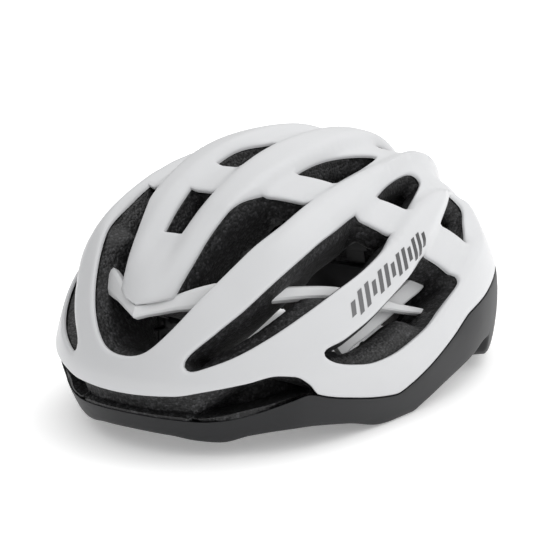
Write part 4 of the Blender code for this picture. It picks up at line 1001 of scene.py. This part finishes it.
def pad(name, node, loop, look, channels):
    """A pad on the cavity wall: a thin welded edge, a crown towards the head and pressed channels."""
    loop = loop if signed_area(loop) > 0 else loop[::-1]
    room = room_inside(loop, 6.0)[:, None]
    lines = [loop - outward(loop) * np.minimum(step, 0.8 * room) for step in (0.35, 0.9, 1.7)]
    ab, triangles = triangulate(loop, [], lines, PAD_GRID)
    away = distance_to(ab, loop, closed=True)
    swell = np.sqrt(1 - (1 - np.clip(away / PAD_SHOULDER, 0, 1)) ** 2)
    pressed = np.zeros(len(ab))
    for channel in channels:
        off_line = distance_to(ab, np.array(channel, float))
        pressed = np.maximum(pressed, np.exp(-(off_line / CHANNEL_HALF) ** 2))
    crown = PAD_CROWN * swell * (1 - 0.55 * pressed)
    layers = [cavity(ab, -PAD_STANDOFF - 0.0002 * swell), cavity(ab, -PAD_STANDOFF - PAD_EDGE - crown)]
    made = layered(name, triangles, layers, look, "shell", node, 70)


def pads(look):
    for name, (points, channel) in SIDE_PADS.items():
        pad(f"{name}_cushion_left", f"{name}_left", outline(points, 0.8), look, [channel])
        mirror = [(-a, b) for a, b in channel]
        pad(f"{name}_cushion_right", f"{name}_right", outline(flipped(points), 0.8), look, [mirror])
    pad("top_cushion", "top_pad", outline(TOP_PAD, 0.8), look, [[(-8, 6), (8, 6)], [(-8, 12), (8, 12)]])
    way = heading(np.linspace(-BROW_PAD_TURN, BROW_PAD_TURN, 95))
    upper, lower = BROW_PAD_ANGLES
    across = np.linspace(upper, lower, 9)[1:-1, None]
    loop = np.vstack([way * upper, way[-1] * across, way[::-1] * lower, way[0] * across[::-1]])
    channels = [[heading(t) * upper, heading(t) * lower] for t in range(-36, 37, 12)]
    pad("brow_cushion", "brow_pad", loop, look, channels)


def cradle_cushions(look):
    """Soft pads at the two ends of the cradle, rounded off at their own ends."""
    route = spline(np.array(CRADLE_ROUTE) * 1000, 61) / 1000
    away = CRADLE_PAD / 2 + CRADLE_THICKNESS / 2 + 0.0006
    for name, run in (("left", route[40:]), ("right", route[:21])):
        inward = run + unit(np.array([0, 0, PIN_Z]) - run) * (1, 1, 0) * away
        share = np.linspace(-1, 1, len(run))
        round_off = np.sqrt(np.clip(1 - abs(share) ** 6, 0.05, 1))
        scale = np.stack([round_off, round_off], 1)
        section = round_section(CRADLE_HEIGHT + 0.002, CRADLE_PAD, 0.0018, 5)
        made = sweep(f"cradle_cushion_{name}", inward, (0, 0, 1), section, look, "cradle",
                     f"cradle_pad_{name}", scale=scale, sharp=60)


# ---------------------------------------------------------------- straps

def wall_point(y, z, inset):
    """The point at this y and z that is the inset away from the cavity's left wall."""
    c, s = math.cos(RAKE), math.sin(RAKE)
    dy, dz = y - HUB_Y, z - HUB_Z
    along, up = dy * c - dz * s, dy * s + dz * c
    share = 1 - abs(along / CAVITY_HALF[1]) ** CAVITY_POWER - abs(up / CAVITY_HALF[2]) ** CAVITY_POWER
    return CAVITY_HALF[0] * share ** (1 / CAVITY_POWER) - inset, y, z


def webbing_section():
    """Woven tape: fine ribs run along both faces, and the selvedges are round and a little thicker."""
    count, half, thick = 13, WEBBING_WIDTH / 2, WEBBING_THICKNESS / 2
    face = []
    for k in range(count):
        u = -half + WEBBING_WIDTH * k / (count - 1)
        edge = abs(u) / half
        height = thick * (0.99 if 0.80 < edge < 0.95 else 0.55 if edge > 0.95 else 0.84 if k % 2 else 0.74)
        face.append((u, height))
    return face + [(u, -v) for u, v in reversed(face)]


def tape(name, node, route, wide, look, body="shell"):
    return sweep(name, route, wide, webbing_section(), look, body, node, sharp=75)


def straps(look):
    for name, side in (("left", 1), ("right", -1)):
        mirror = np.array([side, 1, 1])
        for label, run, count in (("front", FRONT_STRAP, 28), ("rear", REAR_STRAP, 56)):
            route = np.array([wall_point(y, z, WALL_INSET) for y, z in run])
            blend = np.linspace(0, 1, len(route))
            route[:, 0] = route[:, 0] * (1 - blend**3) + DIVIDER_X * blend**3
            route = spline(route * 1000, count) / 1000 * mirror
            tape(f"{label}_webbing_{name}", f"{label}_strap_{name}", route, (0, 0, 1), look)
        route = spline(np.array(CHIN_STRAP) * 1000, 48) / 1000 * mirror
        if side < 0:
            route[:, 0] += BUCKLE_SHIFT * np.linspace(0, 1, len(route)) ** 2
        body = "shell" if side > 0 else None
        made = tape(f"chin_webbing_{name}", f"chin_strap_{name}", route, (0, 1, 0), look, body)
        if side < 0:
            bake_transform(made)


# ---------------------------------------------------------------- hard fittings

def fitting(node, look, width):
    """A moulded fitting with the node's shape and round edges of the given width."""
    made = bmesh.new()
    made.from_mesh(frame["nodes"][node].data)
    bmesh.ops.remove_doubles(made, verts=made.verts, dist=1e-6)
    bmesh.ops.dissolve_limit(made, angle_limit=math.radians(1), verts=made.verts, edges=made.edges)
    edges = [e for e in made.edges if len(e.link_faces) == 2 and e.calc_face_angle() > math.radians(32)]
    bmesh.ops.bevel(made, geom=edges, offset=width, segments=2, profile=0.5, affect="EDGES",
                    clamp_overlap=True)
    mesh = bpy.data.meshes.new(f"{node}_moulding")
    made.to_mesh(mesh)
    made.free()
    piece = bpy.data.objects.new(f"{node}_moulding", mesh)
    bpy.context.scene.collection.objects.link(piece)
    mesh.materials.clear()
    mesh.materials.append(look)
    mesh.shade_smooth()
    mesh.set_sharp_from_angle(angle=math.radians(45))
    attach(piece, frame["nodes"][node]["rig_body"])
    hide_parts(node)


def fittings(look):
    for node, width in FITTING_EDGES.items():
        for name in ([f"{node}_left", f"{node}_right"] if f"{node}_left" in frame["nodes"] else [node]):
            fitting(name, look, width)


# ---------------------------------------------------------------- floor, light and camera

def studio():
    """A plain pale floor, and a soft surround that is brightest above, behind and to the helmet's left."""
    scene = bpy.context.scene
    scene.view_settings.view_transform = "Standard"
    world = bpy.data.worlds.new("studio")
    scene.world = world
    world.use_nodes = True
    tree = world.node_tree
    where = add(tree, "ShaderNodeTexCoord")
    along = add(tree, "ShaderNodeVectorMath", operation="DOT_PRODUCT")
    along.inputs[1].default_value = tuple(unit(np.array(BRIGHT_SIDE)))
    tree.links.new(where.outputs["Generated"], along.inputs[0])
    level = add(tree, "ShaderNodeMapRange", interpolation_type="SMOOTHSTEP", Value=along.outputs["Value"],
                From_Min=BRIGHT_SPAN[0], From_Max=BRIGHT_SPAN[1], To_Min=DIM_LEVEL, To_Max=BRIGHT_LEVEL)
    seen = add(tree, "ShaderNodeLightPath")
    mixed = add(tree, "ShaderNodeMix", data_type="FLOAT")
    mixed.inputs[3].default_value = 1.0
    tree.links.new(seen.outputs["Is Camera Ray"], mixed.inputs[0])
    tree.links.new(level.outputs["Result"], mixed.inputs[2])
    back = tree.nodes["Background"]
    back.inputs["Color"].default_value = (1, 1, 1, 1)
    tree.links.new(mixed.outputs[0], back.inputs["Strength"])
    bpy.ops.mesh.primitive_plane_add(size=FLOOR_SIZE, location=(0, 0, -FLOOR_GAP))
    floor = bpy.context.object
    floor.name = "studio_floor"
    made, tree, shader = node_tree("floor_paint")
    finish_shader(tree, shader, Base_Color=(FLOOR_TONE, FLOOR_TONE, FLOOR_TONE, 1), Roughness=0.8,
                  Specular_IOR_Level=0.1, Emission_Color=(1, 1, 1, 1), Emission_Strength=FLOOR_GLOW)
    floor.data.materials.append(made)
    lamp = bpy.data.lights.new("key", "AREA")
    lamp.size = LAMP_SIZE
    lamp.energy = LAMP_POWER
    holder = bpy.data.objects.new("key", lamp)
    holder.location = LAMP_PLACE
    holder.rotation_euler = (Vector(LAMP_AIM) - Vector(LAMP_PLACE)).to_track_quat("-Z", "Y").to_euler()
    scene.collection.objects.link(holder)


def camera():
    data = bpy.data.cameras.new("camera")
    data.lens = CAMERA_LENS
    data.clip_start = 0.01
    holder = bpy.data.objects.new("camera", data)
    holder.location = CAMERA_PLACE
    aim = (Vector(CAMERA_TARGET) - Vector(CAMERA_PLACE)).to_track_quat("-Z", "Y")
    holder.rotation_euler = (aim.to_matrix() @ Matrix.Rotation(CAMERA_ROLL, 3, "Z")).to_euler()
    bpy.context.scene.collection.objects.link(holder)
    bpy.context.scene.camera = holder


# ---------------------------------------------------------------- start

def main():
    white = moulded_plastic("white_polycarbonate", (0.545, 0.55, 0.56), 0.36, 0.03, coat=0.12, tone=0.01)
    graphite = moulded_plastic("graphite_polycarbonate", (0.0150, 0.0153, 0.0165), 0.50, grain=5200,
                               shine=0.28)
    cage_white = moulded_plastic("cage_nylon", (0.60, 0.605, 0.612), 0.40, tone=0.02)
    foam = bead_foam("bead_foam", (0.0055, 0.0055, 0.0058))
    black = moulded_plastic("black_nylon", (0.016, 0.016, 0.0175), 0.46, grain=3400, depth=0.00004,
                            strength=0.4)
    fabric = knit("pad_knit", (0.018, 0.016, 0.0155))
    webbing = woven_tape("woven_polyester", (0.010, 0.010, 0.011))
    ink = printed_film("printed_ink", (0.125, 0.125, 0.13), (0.020, 0.020, 0.022), MARK_REACH)
    vents = vent_loops()
    studio()
    camera()
    white_shell(vents, white)
    foam_liner(vents, foam)
    graphite_shell(graphite)
    cage(cage_white)
    rib_marks("rib_marks_left", 1, ink)
    rib_marks("rib_marks_right", -1, ink)
    pads(fabric)
    cradle_cushions(fabric)
    straps(webbing)
    fittings(black)


main()
